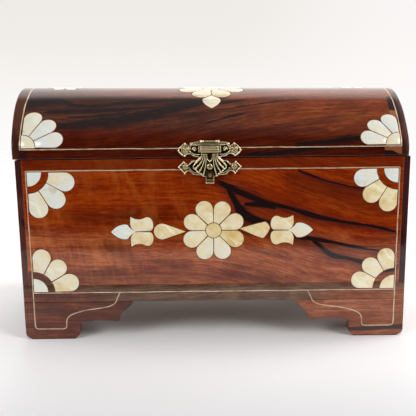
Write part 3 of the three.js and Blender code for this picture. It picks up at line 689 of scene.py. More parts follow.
def grown(points, distance):
    """The outline with every side moved outwards by a distance."""
    area = sum(a[0] * b[1] - b[0] * a[1] for a, b in zip(points, points[1:] + points[:1]))
    turn = 1 if area > 0 else -1

    def outwards(a, b):
        return Vector((b[1] - a[1], a[0] - b[0])).normalized() * turn

    result = []
    for i, point in enumerate(points):
        before = outwards(points[i - 1], point)
        after = outwards(point, points[(i + 1) % len(points)])
        middle = (before + after).normalized()
        shift = middle * (distance * min(2, 1 / max(middle.dot(before), 0.1)))
        result.append((point[0] + shift.x, point[1] + shift.y))
    return result


def arc(x, y, radius, start, end, steps):
    turn = (end - start) / steps
    return [(x + radius * cos(start + turn * i), y + radius * sin(start + turn * i))
            for i in range(steps + 1)]


def bezier(steps, *points):
    """Points along a Bezier curve of any degree, without its last one."""
    result = []
    for i in range(steps):
        level = [Vector(p) for p in points]
        while len(level) > 1:
            level = [a.lerp(b, i / steps) for a, b in zip(level, level[1:])]
        result.append(tuple(level[0]))
    return result


def drawn(*moves):
    """A line through points and along curves. A curve starts from the last move's end, and is
    a list of its steps, its control points and its end, where no point is set."""
    points, pen = [], None
    for move in moves:
        if isinstance(move, list):
            if points[-1] == pen:
                points.pop()
            points += bezier(move[0], pen, *move[1:])
            pen = move[-1]
        else:
            points.append(move)
            pen = move
    return points


def moved(points, x, y):
    return [(u + x, v + y) for u, v in points]


def flipped(points, u, v):
    return [(p[0] * u, p[1] * v, *p[2:]) for p in points]


def turned(points, angle):
    c, s = cos(angle), sin(angle)
    return [(u * c - v * s, u * s + v * c) for u, v in points]


def hand_cut(points, amount=0.012):
    """Scales and turns a tile a little about its middle, because each one was sawn by hand."""
    x, y = (sum(values) / len(points) for values in zip(*points))
    size = 1 + rng.uniform(-amount, amount * 0.5)
    shape = turned(moved(points, -x, -y), rng.uniform(-amount, amount) * 1.5)
    return moved(flipped(shape, size, size), x, y)


# ---- ornaments

TILE = 1.5
PROUD = 0.07
SEAM = 0.5  # the glue line round a tile, and half the gap between two
FLOWER_R, HUB_R, FLOWER_Z = 23.1, 5.5, 82
LID_FLOWER_R, LID_HUB_R, LID_FLOWER_S = 25.8, 6.8, 84.5
END_FLOWER_R = 19
FAN_GAP = 0.8  # from the middle of the wire to a fan beside it
SIGN = {"left": -1, "right": 1}


def petal(mid, half, inner, outer, gap=0.27):
    """A petal between two rays, with a round outer end that is tangent to both of them."""
    reach = (outer + gap) / (1 + sin(half))
    turn = pi / 2 + half
    centre = (reach * cos(mid), reach * sin(mid))
    end = arc(*centre, reach * sin(half) - gap, mid - turn, mid + turn, 14)
    spread = half - math.asin(gap / inner)
    return end + arc(0, 0, inner, mid + spread, mid - spread, 5)


def petals(start, step, inner, reaches):
    return [hand_cut(petal(start + step * i, step / 2, inner, reach))
            for i, reach in enumerate(reaches)]


def flower(count, start, inner, reach, hub, sides=32):
    """A flower of petals that are nearly the same, round a hub."""
    reaches = [reach * rng.uniform(0.98, 1.02) for _ in range(count)]
    middle = arc(0, 0, hub, 0, 2 * pi, sides)[:-1]
    return petals(start, 2 * pi / count, inner, reaches) + [middle]


def mirrored(half, end, u, v):
    return half + [end] + flipped(half[1:], u, v)[::-1]


def drop():
    tip, end, radius = 19.6, 36.9, 5.9
    touch = pi - math.acos(radius / (end - tip))
    return [(tip, 0)] + arc(end, 0, radius, -touch, touch, 18)


# The right-hand drop is sawn squarer than the left one.
KITE_DROP = drawn(
    (19.2, 1.2), (20, 1.6), [3, (30, 4.8), (37, 6.4)], [5, (39, 6.2), (40.6, 2.6)],
    [5, (41.2, 1.2), (39.4, -2), (37, -5)], [3, (36, -6.2), (34.4, -5.4)], (30, -3.8))
TULIP_PETAL = drawn(
    (55.4, 0.2), (55.4, 0.2), [8, (58.4, 2.2), (58.7, 6.2)], [3, (58.4, 9), (58.2, 11.2)],
    [8, (54.6, 8.6), (51, 8.6), (47.4, 10.5)], [8, (44.6, 11.4), (42.2, 9), (42, 5.4)],
    [8, (41.9, 2.2), (43, 0.6), (45, 0.2)])
LEAF = mirrored(drawn((54.8, 0), [8, (58.8, 2.2), (60.4, 5.1)],
                      [10, (63.4, 6.4), (68.6, 4.8), (72.6, 0)]), (72.6, 0), 1, -1)
LID_LEAF = mirrored(drawn((0, -20.2), [8, (1, -23), (5.6, -26.6)],
                          [12, (8.2, -29.6), (5.5, -36.5), (0, -40.6)]), (0, -40.6), -1, 1)


def ornament(name, face, tiles, replaces, tones, x=0, y=0):
    """Tiles of shell, each on a dark bed of glue that shows as a fine line round it."""
    bm = bmesh.new()
    for i, (points, tone) in enumerate(zip(tiles, tones)):
        points = moved(points, x, y)
        bed = 0.014 + 0.004 * (i % 4)
        prism(bm, grown(points, SEAM), -GAP, bed, FACES[face], material=1, tile=tone)
        prism(bm, points, -TILE, PROUD, FACES[face], edge=0.1, tile=tone)
    body = "lid" if face == "lid" else "box"
    finish_piece(f"inlay_{name}", bm, [SHELL, GLUE], body, replaces)


def fans(face, half, rows, inner, hub, nodes, corners):
    """Corner fans of three petals and a quarter round. A row says which way is up, and where."""
    for row, side, reaches, tones in corners:
        up, v = rows[row]
        tiles = petals(pi / 12, pi / 6, inner, reaches)
        tiles.append([(0, 0)] + arc(0, 0, hub, 0, pi / 2, 14))
        tiles = [flipped(p, -SIGN[side], up) for p in tiles]
        ornament(f"{face}_fan_{row}_{side}", face, tiles, [f"{n}_{row}_{side}" for n in nodes],
                 tones, SIGN[side] * (half - FAN_GAP), v)


def front_ornaments():
    ornament("front_flower", "front", flower(8, pi / 8, 5.9, FLOWER_R, HUB_R),
             ["shell_front_flower", "shell_front_hub"],
             [0.4, 0.38, 0.42, 0.4, 0.36, 0.26, 0.26, 0.58, 0.55], 0.2, FLOWER_Z + 0.3)
    for side, shape, tones, aside in (("left", drop(), [0.48, 0.3, 0.5, 0.12], -1.1),
                                      ("right", KITE_DROP, [0.54, 0.42, 0.44, 0.2], -0.7)):
        spray = [shape, TULIP_PETAL, flipped(TULIP_PETAL, 1, -1), LEAF]
        spray = [moved(hand_cut(flipped(p, SIGN[side], 1)), aside if i else 0, 0)
                 for i, p in enumerate(spray)]
        ornament(f"front_spray_{side}", "front", spray,
                 [f"shell_front_drop_{side}", f"shell_front_spray_{side}"], tones, 0, FLOWER_Z)
    rows = {"lower": (1, WIRE_LOW + FAN_GAP), "upper": (-1, WIRE_HIGH - FAN_GAP)}
    fans("front", WIRE_X, rows, 15.5, 10.3, ["shell_fan", "shell_quarter"], [
        ("upper", "left", [34.6, 34.8, 34.4], [0.26, 0.14, 0.26, 0.1]),
        ("upper", "right", [32.4, 32.6, 32.2], [0.12, 0.5, 0.46, 0.08]),
        ("lower", "left", [34.2, 32.6, 33.6], [0.34, 0.32, 0.3, 0.14]),
        ("lower", "right", [32.2, 31.0, 31.4], [0.36, 0.3, 0.38, 0.3]),
    ])


def side_ornaments():
    for side in SIGN:
        tiles = flower(8, pi / 8, 6, END_FLOWER_R, HUB_R)
        ornament(f"{side}_flower", side, tiles, [f"shell_{side}_flower"],
                 [rng.uniform(0.15, 0.5) for _ in tiles], 0, FLOWER_Z)


def lid_ornaments():
    rows = {"front": (1, LID_WIRE_S + 1.1), "back": (-1, LID_S - LID_WIRE_S - 1.1)}
    fans("lid", LID_WIRE_X, rows, 10.3, 9.9, ["shell_lid_fan"], [
        ("front", "left", [30.4, 31.2, 32.4], [0.08, 0.12, 0.2, 0.2]),
        ("front", "right", [28.4, 28.6, 28.4], [0.16, 0.16, 0.1, 0.34]),
        ("back", "left", [31, 31, 30.6], [0.3, 0.2, 0.4, 0.3]),
        ("back", "right", [30.6, 31, 31], [0.2, 0.4, 0.3, 0.5]),
    ])
    tiles = flower(8, pi / 8, LID_HUB_R + 0.3, LID_FLOWER_R, LID_HUB_R)
    tones = [rng.uniform(0.3, 0.55) for _ in tiles] + [0.3]
    ornament("lid_flower", "lid", tiles + [LID_LEAF], ["shell_lid_flower", "shell_lid_leaf"],
             tones, 1.2, LID_FLOWER_S)
    for side, x, s in (("left", -111, 90.5), ("right", 111, 98)):
        tiles = flower(6, 0, 4.2, 14, 3.8, sides=20)
        ornament(f"lid_rosette_{side}", "lid", tiles, [],
                 [rng.uniform(0.1, 0.4) for _ in tiles], x, s)


# ---- wire stringing

WIRE_WIDE = 0.72


def wavy(start, end, step):
    """A hand-laid line between two points, which strays a little from the straight."""
    a, b = Vector(start), Vector(end)
    length = (b - a).length
    across = Vector((a.y - b.y, b.x - a.x)).normalized()
    phases = [rng.uniform(0, 2 * pi) for _ in range(3)]
    points = []
    count = max(2, int(length / step))
    for i in range(count + 1):
        at = length * i / count
        stray = sum(sin(at / wave + p) for wave, p in zip((19.0, 8.5, 4.1), phases)) / 3
        fade = min(1, 4 * i / count, 4 * (count - i) / count)
        points.append(a.lerp(b, i / count) + across * (stray * 0.22 * fade))
    return points


def sweep(bm, path, section, place, taper=0.0, closed=False):
    """A bar along a path of (u, v, w), from its section's (sideways, outwards) points."""
    layer = vector_layer(bm, "tile")
    last = len(path) - 1
    rows = []
    for i, point in enumerate(path):
        before = path[i - 1] if i or closed else point
        after = path[(i + 1) % (last + 1)] if i < last or closed else point
        along = (Vector(after) - Vector(before)).normalized()
        side = along.cross(Vector((0, 0, 1)))
        side = side.normalized() if side.length > 1e-6 else Vector((1, 0, 0))
        out = side.cross(along)
        rows.append([])
        for sideways, outwards in section:
            at = Vector(point) + (side * sideways + out * outwards) * (1 - taper * i / last)
            rows[-1].append(bm.verts.new(place(*at)))
            rows[-1][-1][layer] = (at.x, at.y, 0)
    loft(bm, rows, closed)
    if not closed:
        bm.faces.new(rows[0][::-1])
        bm.faces.new(rows[-1])


def wire_strip(bm, path, face):
    """A flat wire with rounded shoulders, let into the face along a path."""
    right = [(0.3 * WIRE_WIDE, 0.07), (0.5 * WIRE_WIDE, 0.0), (0.5 * WIRE_WIDE, -0.6)]
    path = [(point[0], point[1], 0) for point in path]
    sweep(bm, path, right + flipped(right[::-1], -1, 1), FACES[face])


def foot_wire(sign):
    """The wire that follows the inside of a front foot."""
    sole, inside, top = 8.1, 109.2, WIRE_LOW
    points = drawn(
        (WIRE_X, top), (WIRE_X, sole + 3), [6, (WIRE_X, sole), (WIRE_X - 3, sole)],
        (inside + 3, sole), [6, (inside, sole), (inside, sole + 3)],
        (inside, 13), [8, (inside, 19), (103, 20), (99, 21.3)],
        [12, (89, 24.6), (75, 23), (72, 29)], [5, (70.5, 33.4), (68.6, top)], (68.6, top))
    dense = []
    for a, b in zip(points, points[1:]):
        count = max(1, int((Vector(b) - Vector(a)).length / 3))
        dense += [tuple(Vector(a).lerp(Vector(b), i / count)) for i in range(count)]
    return flipped(dense + points[-1:], sign, 1)


def stringing():
    for face, half, low, high, step in (
        ("front", WIRE_X, WIRE_LOW, WIRE_HIGH, 2.5), ("back", WIRE_X, WIRE_LOW, WIRE_HIGH, 2.5),
        ("left", WIRE_Y, WIRE_LOW, WIRE_HIGH, 2.5), ("right", WIRE_Y, WIRE_LOW, WIRE_HIGH, 2.5),
        ("lid", LID_WIRE_X, LID_WIRE_S, LID_S - LID_WIRE_S, 2.0),
    ):
        bm = bmesh.new()
        corners = [(-half, low), (half, low), (half, high), (-half, high)]
        for start, end in zip(corners, corners[1:] + corners[:1]):
            wire_strip(bm, wavy(start, end, step), face)
        if face == "front":
            wire_strip(bm, foot_wire(1), face)
            wire_strip(bm, foot_wire(-1), face)
        finish_piece(f"wire_{face}", bm, [WIRE], "lid" if face == "lid" else "box",
                     [f"stringing_{face}"])


# ---- boards


def board(name, plan, low, high, face, node, finish, worn=0.15):
    """A mitred board: its plan (along, inwards) is drawn on its face, and z runs up it."""
    bm = bmesh.new()
    rings = [(low, 0.15), (low + 0.15, 0.0), *rounded(high, worn, 3)]
    for side in stack(bm, plan, rings, lambda u, inwards, z: (u, z, -inwards))[2:]:
        side.material_index = int(min(-v.co.z for v in side.verts) > 4)
    store(bm, "grain")
    put(bm.verts, FACES[face])
    bmesh.ops.triangulate(bm, faces=[f for f in bm.faces if len(f.verts) > 4])
    finish_piece(name, bm, [finish, WOOD["inner"]], "box", [node], sharp=20)


def mitred(half, thick, corner=0.9):
    """The plan of a board with mitred ends, whose outer corners are rounded."""
    end = arc(half - corner, corner, corner, -pi / 2, -pi / 4, 4)
    right = [(half - corner - 0.01, 0), *end[1:], (half - thick, thick)]
    return right + flipped(right[::-1], -1, 1)


def carcase():
    for face, half, finish in (("front", HALF_W, WOOD["front"]), ("back", HALF_W, WOOD["wall"]),
                               ("left", HALF_D, WOOD["wall"]), ("right", HALF_D, WOOD["wall"])):
        board(f"veneered_wall_{face}", mitred(half, WALL), BASE_TOP, RIM, face, f"wall_{face}",
              finish, worn=0.8)
        board(f"base_band_{face}", mitred(half, BASE_RAIL), BASE_BOTTOM, BASE_TOP, face,
              f"base_rail_{face}", WOOD["base"])


def floor_panel():
    low, high = node_box("floor_board")
    bm = bmesh.new()
    outline = [(low.x, low.y), (high.x, low.y), (high.x, high.y), (low.x, high.y)]
    prism(bm, outline, low.z, high.z, unmoved, edge=0.3)
    store(bm, "grain")
    finish_piece("floor_panel", bm, [WOOD["inner"]], "box", ["floor_board"])


# ---- feet

FOOT_BOARD = 10


def foot_face(pad, reach):
    """A bracket foot seen from its face: u inwards from the outer end, v up from the floor."""
    cusp, step, top = reach - 10.3, pad + 4, BASE_BOTTOM
    return drawn(
        (0, top), (0, 4.9), [6, (0.2, 3.6), (3.2, 0.4), (4.9, 0)], (4.9, 0), (pad - 0.4, 0),
        (pad, 0), [4, (pad + 2, 1.2), (step - 0.3, 3.6)], [4, (step, 8), (step - 0.2, 12)],
        [12, ((step + cusp) / 2 - 5, 15.4), (cusp - 3, 13.6)], [5, (cusp, 13.2), (cusp, 15.2)],
        [14, (cusp + 0.9, 22), (cusp + 8.4, 23.5), (reach, top)], (reach, top))


def foot_slab(bm, outline, face, sign, half):
    """One arm of a foot, cut to a mitre at its outer end, with its face's edge rounded off."""
    arm = bmesh.new()
    flat = stack(arm, outline, [(0.0, 0.45), (0.14, 0.14), (0.45, 0.0), (FOOT_BOARD, 0.0)],
                 lambda u, v, depth: (u, min(v, BASE_BOTTOM - 0.05), -depth))[:2]
    for side in flat:
        side.normal_update()
    bmesh.ops.triangulate(arm, faces=flat)
    bmesh.ops.bisect_plane(arm, geom=[*arm.verts, *arm.edges, *arm.faces], plane_co=(0, 0, 0),
                           plane_no=(-1, 0, -1), clear_outer=True)
    put(arm.verts, lambda u, v, w: FACES[face](sign * (half - u), v, w))
    made = bpy.data.meshes.new("arm")
    arm.to_mesh(made)
    arm.free()
    bm.from_mesh(made)
    bpy.data.meshes.remove(made)


def feet():
    low, high = node_box("foot_front_right")
    outlines = foot_face(36.4, (high - low).x), foot_face(24, (high - low).y)
    for along, v in (("front", -1), ("back", 1)):
        for side, u in SIGN.items():
            bm = bmesh.new()
            foot_slab(bm, outlines[0], along, -u * v, HALF_W)
            foot_slab(bm, outlines[1], side, u * v, HALF_D)
            seed = 40 * u + 90 * v
            store(bm, "grain", lambda x, y, z: (x + y * 0.9 + seed, z * 1.3 + seed, y * 0.2))
            finish_piece(f"bracket_foot_{along}_{side}", bm, [WOOD["foot"]], "box",
                         [f"foot_{along}_{side}"], sharp=20)


# ---- lid


def lid_board():
    """The curved board: rounded along its lower edges and at both ends."""
    edge = 0.7
    stations = [edge * (1 - cos(pi / 2 * i / 6)) for i in range(7)] + [edge + 0.4]
    count = 110
    stops = sorted({*stations, *[LID_S - t for t in stations],
                    *[edge + 0.4 + (LID_S - 2 * edge - 0.8) * i / count for i in range(count + 1)],
                    LID_STRAIGHT, HAUNCH_S, LID_S - HAUNCH_S, LID_S - LID_STRAIGHT})
    columns = [-HALF_W + t for t in stations] + list(range(-130, 131, 10))
    columns += [HALF_W - t for t in stations[::-1]]

    def sunk(distance):
        return 0.0 if distance >= edge else edge - math.sqrt(edge**2 - (edge - distance) ** 2)

    bm = bmesh.new()
    layer = vector_layer(bm, "grain")
    size = len(stops)
    rows = []
    for x in columns:
        outer = [(s, -max(sunk(HALF_W - abs(x)), sunk(min(s, LID_S - s)))) for s in stops]
        rows.append([])
        for s, w in outer + [(s, -LID_SKIN) for s in stops[::-1]]:
            rows[-1].append(bm.verts.new(on_lid(x, s, w)))
            rows[-1][-1][layer] = (x, s, w)
    for i, face in enumerate(loft(bm, rows)):
        face.material_index = int(size <= i % (2 * size) < 2 * size - 1)
    for row in (rows[0], rows[-1]):
        for i in range(size - 1):
            bm.faces.new((row[i], row[-1 - i], row[-2 - i], row[i + 1]))
    finish_piece("lid_board", bm, [WOOD["lid"], WOOD["inner"]], "lid", ["lid_shell"],
                 sharp=20)


def lid_ends():
    count = 60
    for side, sign in SIGN.items():
        arch = [on_lid(sign * HALF_W, LID_S * i / count, -LID_SKIN - 0.06)[1:]
                for i in range(count + 1)]
        bm = bmesh.new()
        prism(bm, flipped(arch, sign, 1), -LID_END, -0.05, FACES[side], edge=0.25)
        for vert in bm.verts:
            vert.co.x += ASIDE - lean(sign * HALF_W, vert.co.z - LID_Z)
        store(bm, "grain", lambda x, y, z: (y, z, x))
        for poly in bm.faces:
            if all(abs(vert.co.x) < HALF_W - LID_END + 0.1 for vert in poly.verts):
                poly.material_index = 1
        finish_piece(f"lid_gable_{side}", bm, [WOOD["wall"], WOOD["inner"]], "lid",
                     [f"lid_end_{side}"], sharp=20)


# ---- cast clasp

CLASP_X = sum(corner.x for corner in node_box("clasp_hasp")) / 2
PIN_Z = sum(corner.z for corner in node_box("clasp_pin")) / 2
BAR = PIN_Z - RIM  # the height of the clasp's own hinge above the rim
BAR_OUT = 3.0  # and how far in front of the wood it is
PLATE_OUT = GAP + 1.4  # the front of both plates
PLATE_DROP = 1.2  # how much lower than drawn the lid plate is nailed on
NAIL_X, LID_NAIL, CATCH_NAIL = 17.2, 7.6, -5.6
VOXEL, NAIL_VOXEL = 0.17, 0.12


def on_clasp(u, v, w):
    """The clasp's own coordinates: from its middle, from the rim and from the wood's front."""
    return u + CLASP_X, -HALF_D - w, RIM + v


def on_lid_plate(u, v, w):
    """The same on the lid: above the upright edge the plate follows the haunch."""
    up = RIM + v - PLATE_DROP - LID_Z
    if up > LID_STRAIGHT:
        up = haunch_s(up)
    x, y, z = on_lid(u + CLASP_X - ASIDE, max(up, 0.0), w)
    return x, y, z + min(up, 0.0)


def lid_height(y, z):
    """How far a point is above the lid's outer face, near its front edge."""
    up = z - LID_Z - LID_STRAIGHT
    return -HALF_D - y if up < 0 else math.hypot(y + HAUNCH_Y, up) - HAUNCH_R


def both(points):
    """The right half of an outline, from its lower middle to its upper one, and its mirror."""
    return points + [(-u, v) for u, v in points[::-1] if u > 1e-6]


def smooth_path(points, steps=5):
    """A smooth curve through a few points (Catmull-Rom)."""
    ends = [points[0], *points, points[-1]]
    result = []
    for a, b, c, d in zip(ends, ends[1:], ends[2:], ends[3:]):
        for t in [i / steps for i in range(steps)]:
            result.append(tuple(
                0.5 * (2 * q + (r - p) * t + (2 * p - 5 * q + 4 * r - s) * t**2
                       + (3 * q - p - 3 * r + s) * t**3)
                for p, q, r, s in zip(a, b, c, d)))
    return result + [tuple(points[-1])]


class Casting:
    """Overlapping forms, drawn as (u, v, w) on a face. A side of -1 mirrors what is added."""

    def __init__(self, place):
        self.bm = bmesh.new()
        self.place = place
        self.side = 1

    def put(self, u, v, w):
        return self.place(self.side * u, v, w)

    def plate(self, outline, low, high):
        """A plate between two heights, cut finely enough to follow a curved face."""
        faces = stack(self.bm, outline, [(low, 0), (high, 0)])
        new = {vert for face in faces for vert in face.verts}
        put(new | slice_round(self.bm, faces, 0.8), self.put)

    def tube(self, path, radius, sides=8, taper=0.0, closed=False):
        """A round bar along a path, closed at both ends or on itself."""
        section = arc(0, 0, radius, 0, 2 * pi, sides)[:-1]
        sweep(self.bm, path, section, self.put, taper, closed)

    def ball(self, u, v, w, radius, flat=1.0):
        """A knob, pressed flatter towards the plate if flat is under 1."""
        made = bmesh.ops.create_uvsphere(self.bm, u_segments=16, v_segments=10, radius=radius)
        put(made["verts"], lambda x, y, z: self.put(u + x, v + y, w + z * flat))

    def ring(self, u, v, w, radius, thick):
        """A raised ring."""
        path = [(*at, w) for at in arc(u, v, radius, 0, 2 * pi, 24)[:-1]]
        self.tube(path, thick, closed=True)

    def finish(self, name, body, replaces, height, voxel=VOXEL):
        """Fuses the forms into one casting and softens it as a worn mould would."""
        rough = linked(name, self.bm)
        fuse = rough.modifiers.new("fuse", "REMESH")
        fuse.mode = "VOXEL"
        fuse.voxel_size = voxel * 1 * MM
        soften = rough.modifiers.new("soften", "SMOOTH")
        soften.factor = 0.5
        soften.iterations = 1
        graph = bpy.context.evaluated_depsgraph_get()
        made = bpy.data.meshes.new_from_object(rough.evaluated_get(graph))
        bpy.data.objects.remove(rough)
        result = bmesh.new()
        result.from_mesh(made)
        layer = result.verts.layers.float.new("relief")
        for vert in result.verts:
            vert.co /= MM
            vert[layer] = height(*vert.co)
        finish_piece(name, result, [BRASS], body, [replaces], sharp=180)


def lid_plate():
    part, w = Casting(on_lid_plate), PLATE_OUT
    right = drawn(
        (0, 2.2), (7.2, 2.2), (11.6, 3.2), [6, (14.6, 6.4), (17.6, 2.7)],
        [5, (20.6, 4.4), (22.8, 7.2)], [5, (20.4, 10.2), (17.4, 12)],
        [4, (15.8, 10.6), (13.8, 9.8)], (13.8, 9.8), (13.2, 11.2), (11.2, 12.4), (6.3, 13),
        (0, 12.6))
    knobs = [(17.3, 11.2, 0.15, 0.75), (21.7, 7.2, 0.15, 0.75), (17.6, 3.7, 0.15, 0.75),
             (13, 10.9, 0.4, 1.15), (6.2, 12.5, 0.5, 0.95), (4.6, 12.6, 0.4, 0.7),
             (10.7, 7.7, 0.3, 0.75), (13.9, 8.2, 0, 0.55)]
    scroll = [(0.8 * i, 1.7 - 0.17 * i) for i in range(9)]
    for part.side in (-1, 1):
        part.plate([p for p in right if p[0] >= 6.3] + [(6.3, 2.2)], GAP, w)
        part.tube([(u, v, w) for u, v in grown(right, -0.45) if u > 6.0], 0.5)
        part.ring(NAIL_X, LID_NAIL, w, 2.4, 0.32)
        for u, v, up, radius in knobs:
            part.ball(u, v, w + up, radius)
        part.tube([(10.6 + r * cos(turn), 7.7 + r * sin(turn), w + 0.3) for turn, r in scroll],
                  0.4, taper=0.3)
        part.tube(smooth_path([(14.4, 6.9, w), (12.6, 5.4, w), (10, 4.5, w), (7, 4.4, w)]), 0.42)
        for v, radius in ((10.7, 0.42), (11.8, 0.34)):
            part.tube([(u, v, w + 0.25) for u in (12, 10, 8, 6)], radius)
        part.place = on_clasp
        part.tube([(6.3, BAR, BAR_OUT), (7.9, BAR, BAR_OUT)], 2.4, sides=24)
        part.place = on_lid_plate
    # Between the wings the plate is open behind the hasp's barrel.
    for low, high in ((BAR + PLATE_DROP + 2.4, 13), (2.2, BAR + PLATE_DROP - 2.9)):
        part.plate([(-6.4, low), (6.4, low), (6.4, high), (-6.4, high)], GAP, w)
    for v, radius, half in ((11.0, 0.45, 6.6), (11.8, 0.35, 6.6), (12.6, 0.45, 6.2)):
        part.tube([(u, v, w + 0.25) for u in (-half, 0, half)], radius)
    part.finish("clasp_plate_lid", "lid", "clasp_lid_plate", lambda x, y, z: lid_height(y, z) - w)


def catch_plate():
    part, w = Casting(on_clasp), PLATE_OUT
    right = drawn(
        (0, -11.8), (6.2, -11.8), (12, -11.1), [6, (14.6, -6.2), (18, -11.1)],
        [5, (19.8, -8), (22.8, -5.7)], [5, (20.2, -4.2), (18.5, -1.4)],
        [6, (15.6, -6.6), (12.6, -1.2)], (12.6, -1.2), (9, -1), (0, -1))
    part.plate(both(right), GAP, w)
    for part.side in (-1, 1):
        rim = [(u, v, w - 0.1) for u, v in grown(right, -0.4) if u > 5.5 and v < -1.3]
        part.tube(rim, 0.5)
        part.ring(NAIL_X, CATCH_NAIL, w - 0.1, 2.35, 0.28)
        for u, v in ((21.7, -5.7), (18.3, -2.4), (12.7, -2.2), (17.8, -10.2)):
            part.ball(u, v, w, 0.7)
        inner = smooth_path([(14.2, -6.4, w), (12.8, -8.3, w), (10.4, -9.6, w), (7, -10, w)])
        part.tube(inner, 0.38)
    part.finish("clasp_plate_catch", "box", "clasp_catch_plate", lambda x, y, z: -HALF_D - y - w)


def hasp():
    part, back, front = Casting(on_clasp), 2.0, 3.2
    right = drawn(
        (0, -12.2), (4.4, -12.4), (5.2, -12.3), [4, (6, -10.6), (8.2, -9.8)],
        [3, (10, -7.6), (11, -7.2)], [4, (12.4, -5.6), (11.8, -3.8)], (9, -0.8), (9, -0.8),
        [5, (6.4, 1.4), (5.7, 4.2)], (5.7, 6), (0, 6))
    ribs = [
        [(2.2, 3.6), (2.6, -0.6), (3, -4.6), (4, -8.6), (5, -11.8)],
        [(3.2, 3.8), (3.9, -0.6), (5.2, -4.8), (7, -8), (7.9, -9.6)],
        [(4.4, 3.8), (5.2, -0.2), (7, -3.4), (9.2, -5.8), (10.4, -7.3)],
        [(5.2, 3.8), (6.2, 0.8), (8.4, -1.4), (10.4, -3.2), (11.4, -4.6)],
    ]
    part.plate(both(right), back, front)
    for part.side in (-1, 1):
        for rib in ribs:
            part.tube(smooth_path([(u, v, front + 0.12) for u, v in rib]), 0.5)
        edge = [(u, v, front - 0.05) for u, v in grown(right, -0.3) if u > 3.5 and v < 3]
        part.tube(edge, 0.42)
        shield = [(2, 2.6, front + 0.1), (1.5, 0, front + 0.2), (0, -1.8, front + 0.25)]
        part.tube(smooth_path(shield), 0.36)
    part.ring(0, -5.2, front + 0.8, 1.45, 0.62)
    part.tube([(0, -5.2, front - 0.4), (0, -5.2, front + 0.45)], 1.6, sides=20)
    # The tab that snaps over the catch plate, with a lip across its end.
    tab = [(-2.8, -15), (2.8, -15), (2.8, -10.4), (1.8, -8.6), (-1.8, -8.6), (-2.8, -10.4)]
    part.plate(tab, back, front + 0.1)
    part.ball(0, -11.4, front - 1.2, 2.35, flat=0.75)
    for v, w, radius in ((-16.7, front + 1.0, 0.68), (-15.1, front - 0.1, 0.55)):
        part.tube([(-2.9, v, w), (2.9, v, w)], radius, sides=12)
    part.plate([(-2.9, -17), (2.9, -17), (2.9, -14.6), (-2.9, -14.6)], front - 0.6, front + 0.4)
    # The barrel, ribbed along its length.
    for turn in [pi / 6 * i for i in range(12)]:
        v, w = BAR + 2.12 * sin(turn), BAR_OUT + 2.12 * cos(turn)
        part.tube([(-5.95, v, w), (5.95, v, w)], 0.42)
    part.tube([(-5.95, BAR, BAR_OUT), (5.95, BAR, BAR_OUT)], 2.2, sides=32)
    part.finish("clasp_hasp_cast", "hasp", "clasp_hasp", lambda x, y, z: -HALF_D - y - front)


def clasp_nails():
    """Riveted nails: a raised ring round a small dome."""
    for on, body, v, place in (("lid", "lid", LID_NAIL, on_lid_plate),
                               ("catch", "box", CATCH_NAIL, on_clasp)):
        for side, sign in SIGN.items():
            part = Casting(place)
            part.ring(sign * NAIL_X, v, PLATE_OUT + 0.35, 1.35, 0.5)
            part.ball(sign * NAIL_X, v, PLATE_OUT + 0.1, 1.05, flat=0.75)
            part.finish(f"nail_{on}_{side}", body, f"clasp_nail_{on}_{side}",
                        lambda x, y, z: 0.8, voxel=NAIL_VOXEL)


# ---- hinges


def make_brass(node):
    node.data.materials.clear()
    node.data.materials.append(BRASS)


def hinges():
    """Plain butt hinges on the back: leaves with three screws each and turned knuckles."""
    for name, body in ((f"hinge_{side}_{leaf}_leaf", body) for side in SIGN
                       for leaf, body in (("body", "box"), ("lid", "lid"))):
        node = frame["nodes"][name]
        make_brass(node)
        rounded = node.modifiers.new("rounded", "BEVEL")
        rounded.width = 0.18 * MM
        rounded.segments = 2
        rounded.angle_limit = radians(40)
        low, high = node_box(name)
        middle = (low.x + high.x) / 2
        part = Casting(FACES["back"] if body == "box" else on_lid)
        for step in (-8.5, 0, 8.5):
            u, v = -(middle + step), low.z + 3.6
            if body == "lid":
                u, v = middle + step - ASIDE, LID_S - haunch_s(high.z - 3.4 - LID_Z)
            part.ball(u, v, GAP + 1.25, 1.7, flat=0.3)
        store(part.bm, "tile")
        finish_piece(f"screws_{name}", part.bm, [BRASS], body)
    for pin in ("clasp_pin", "hinge_left_pin", "hinge_right_pin"):
        make_brass(frame["nodes"][pin])


# ---- everything

for make in (carcase, floor_panel, feet, lid_board, lid_ends, front_ornaments, side_ornaments,
             lid_ornaments, stringing, lid_plate, catch_plate, hasp, clasp_nails, hinges):
    make()

# ---- studio

WHITE_FLOOR, SHADED_NEAR_FLOOR = (226, 225, 225), (196, 196, 197)
FLOOR_REACH = 2.0  # metres; all of this section is in metres
MIRROR_EDGE = -0.38  # nearer than this the floor isn't seen in the varnish


def floor():
    """A pale floor that fades into the white surround at some distance from the object, and is
    greyer towards the camera with a painted shade.
    """
    g = Graph("floor")
    x, y, _ = g.place(unit=1.0)
    far = g.math("SQRT", x * x + y * y)
    # Painted shade: the floor is greyer nearer the camera than the object.
    g.colour = g.mix(g.smooth(y, -0.08, -0.24), srgb(*WHITE_FLOOR), srgb(*SHADED_NEAR_FLOOR))
    g.shade(Roughness=0.6, Specular_IOR_Level=0.2, Alpha=g.smooth(far, 1.1, 0.25))
    reach = FLOOR_REACH
    for name, y0, y1 in (("floor", MIRROR_EDGE, reach), ("floor_front", -reach, MIRROR_EDGE)):
        mesh = bpy.data.meshes.new(name)
        corners = [(-reach, y0, 0), (reach, y0, 0), (reach, y1, 0), (-reach, y1, 0)]
        mesh.from_pydata(corners, [], [(0, 1, 2, 3)])
        mesh.materials.append(g.material)
        plane = linked(name, mesh)
        plane.visible_glossy = name == "floor"


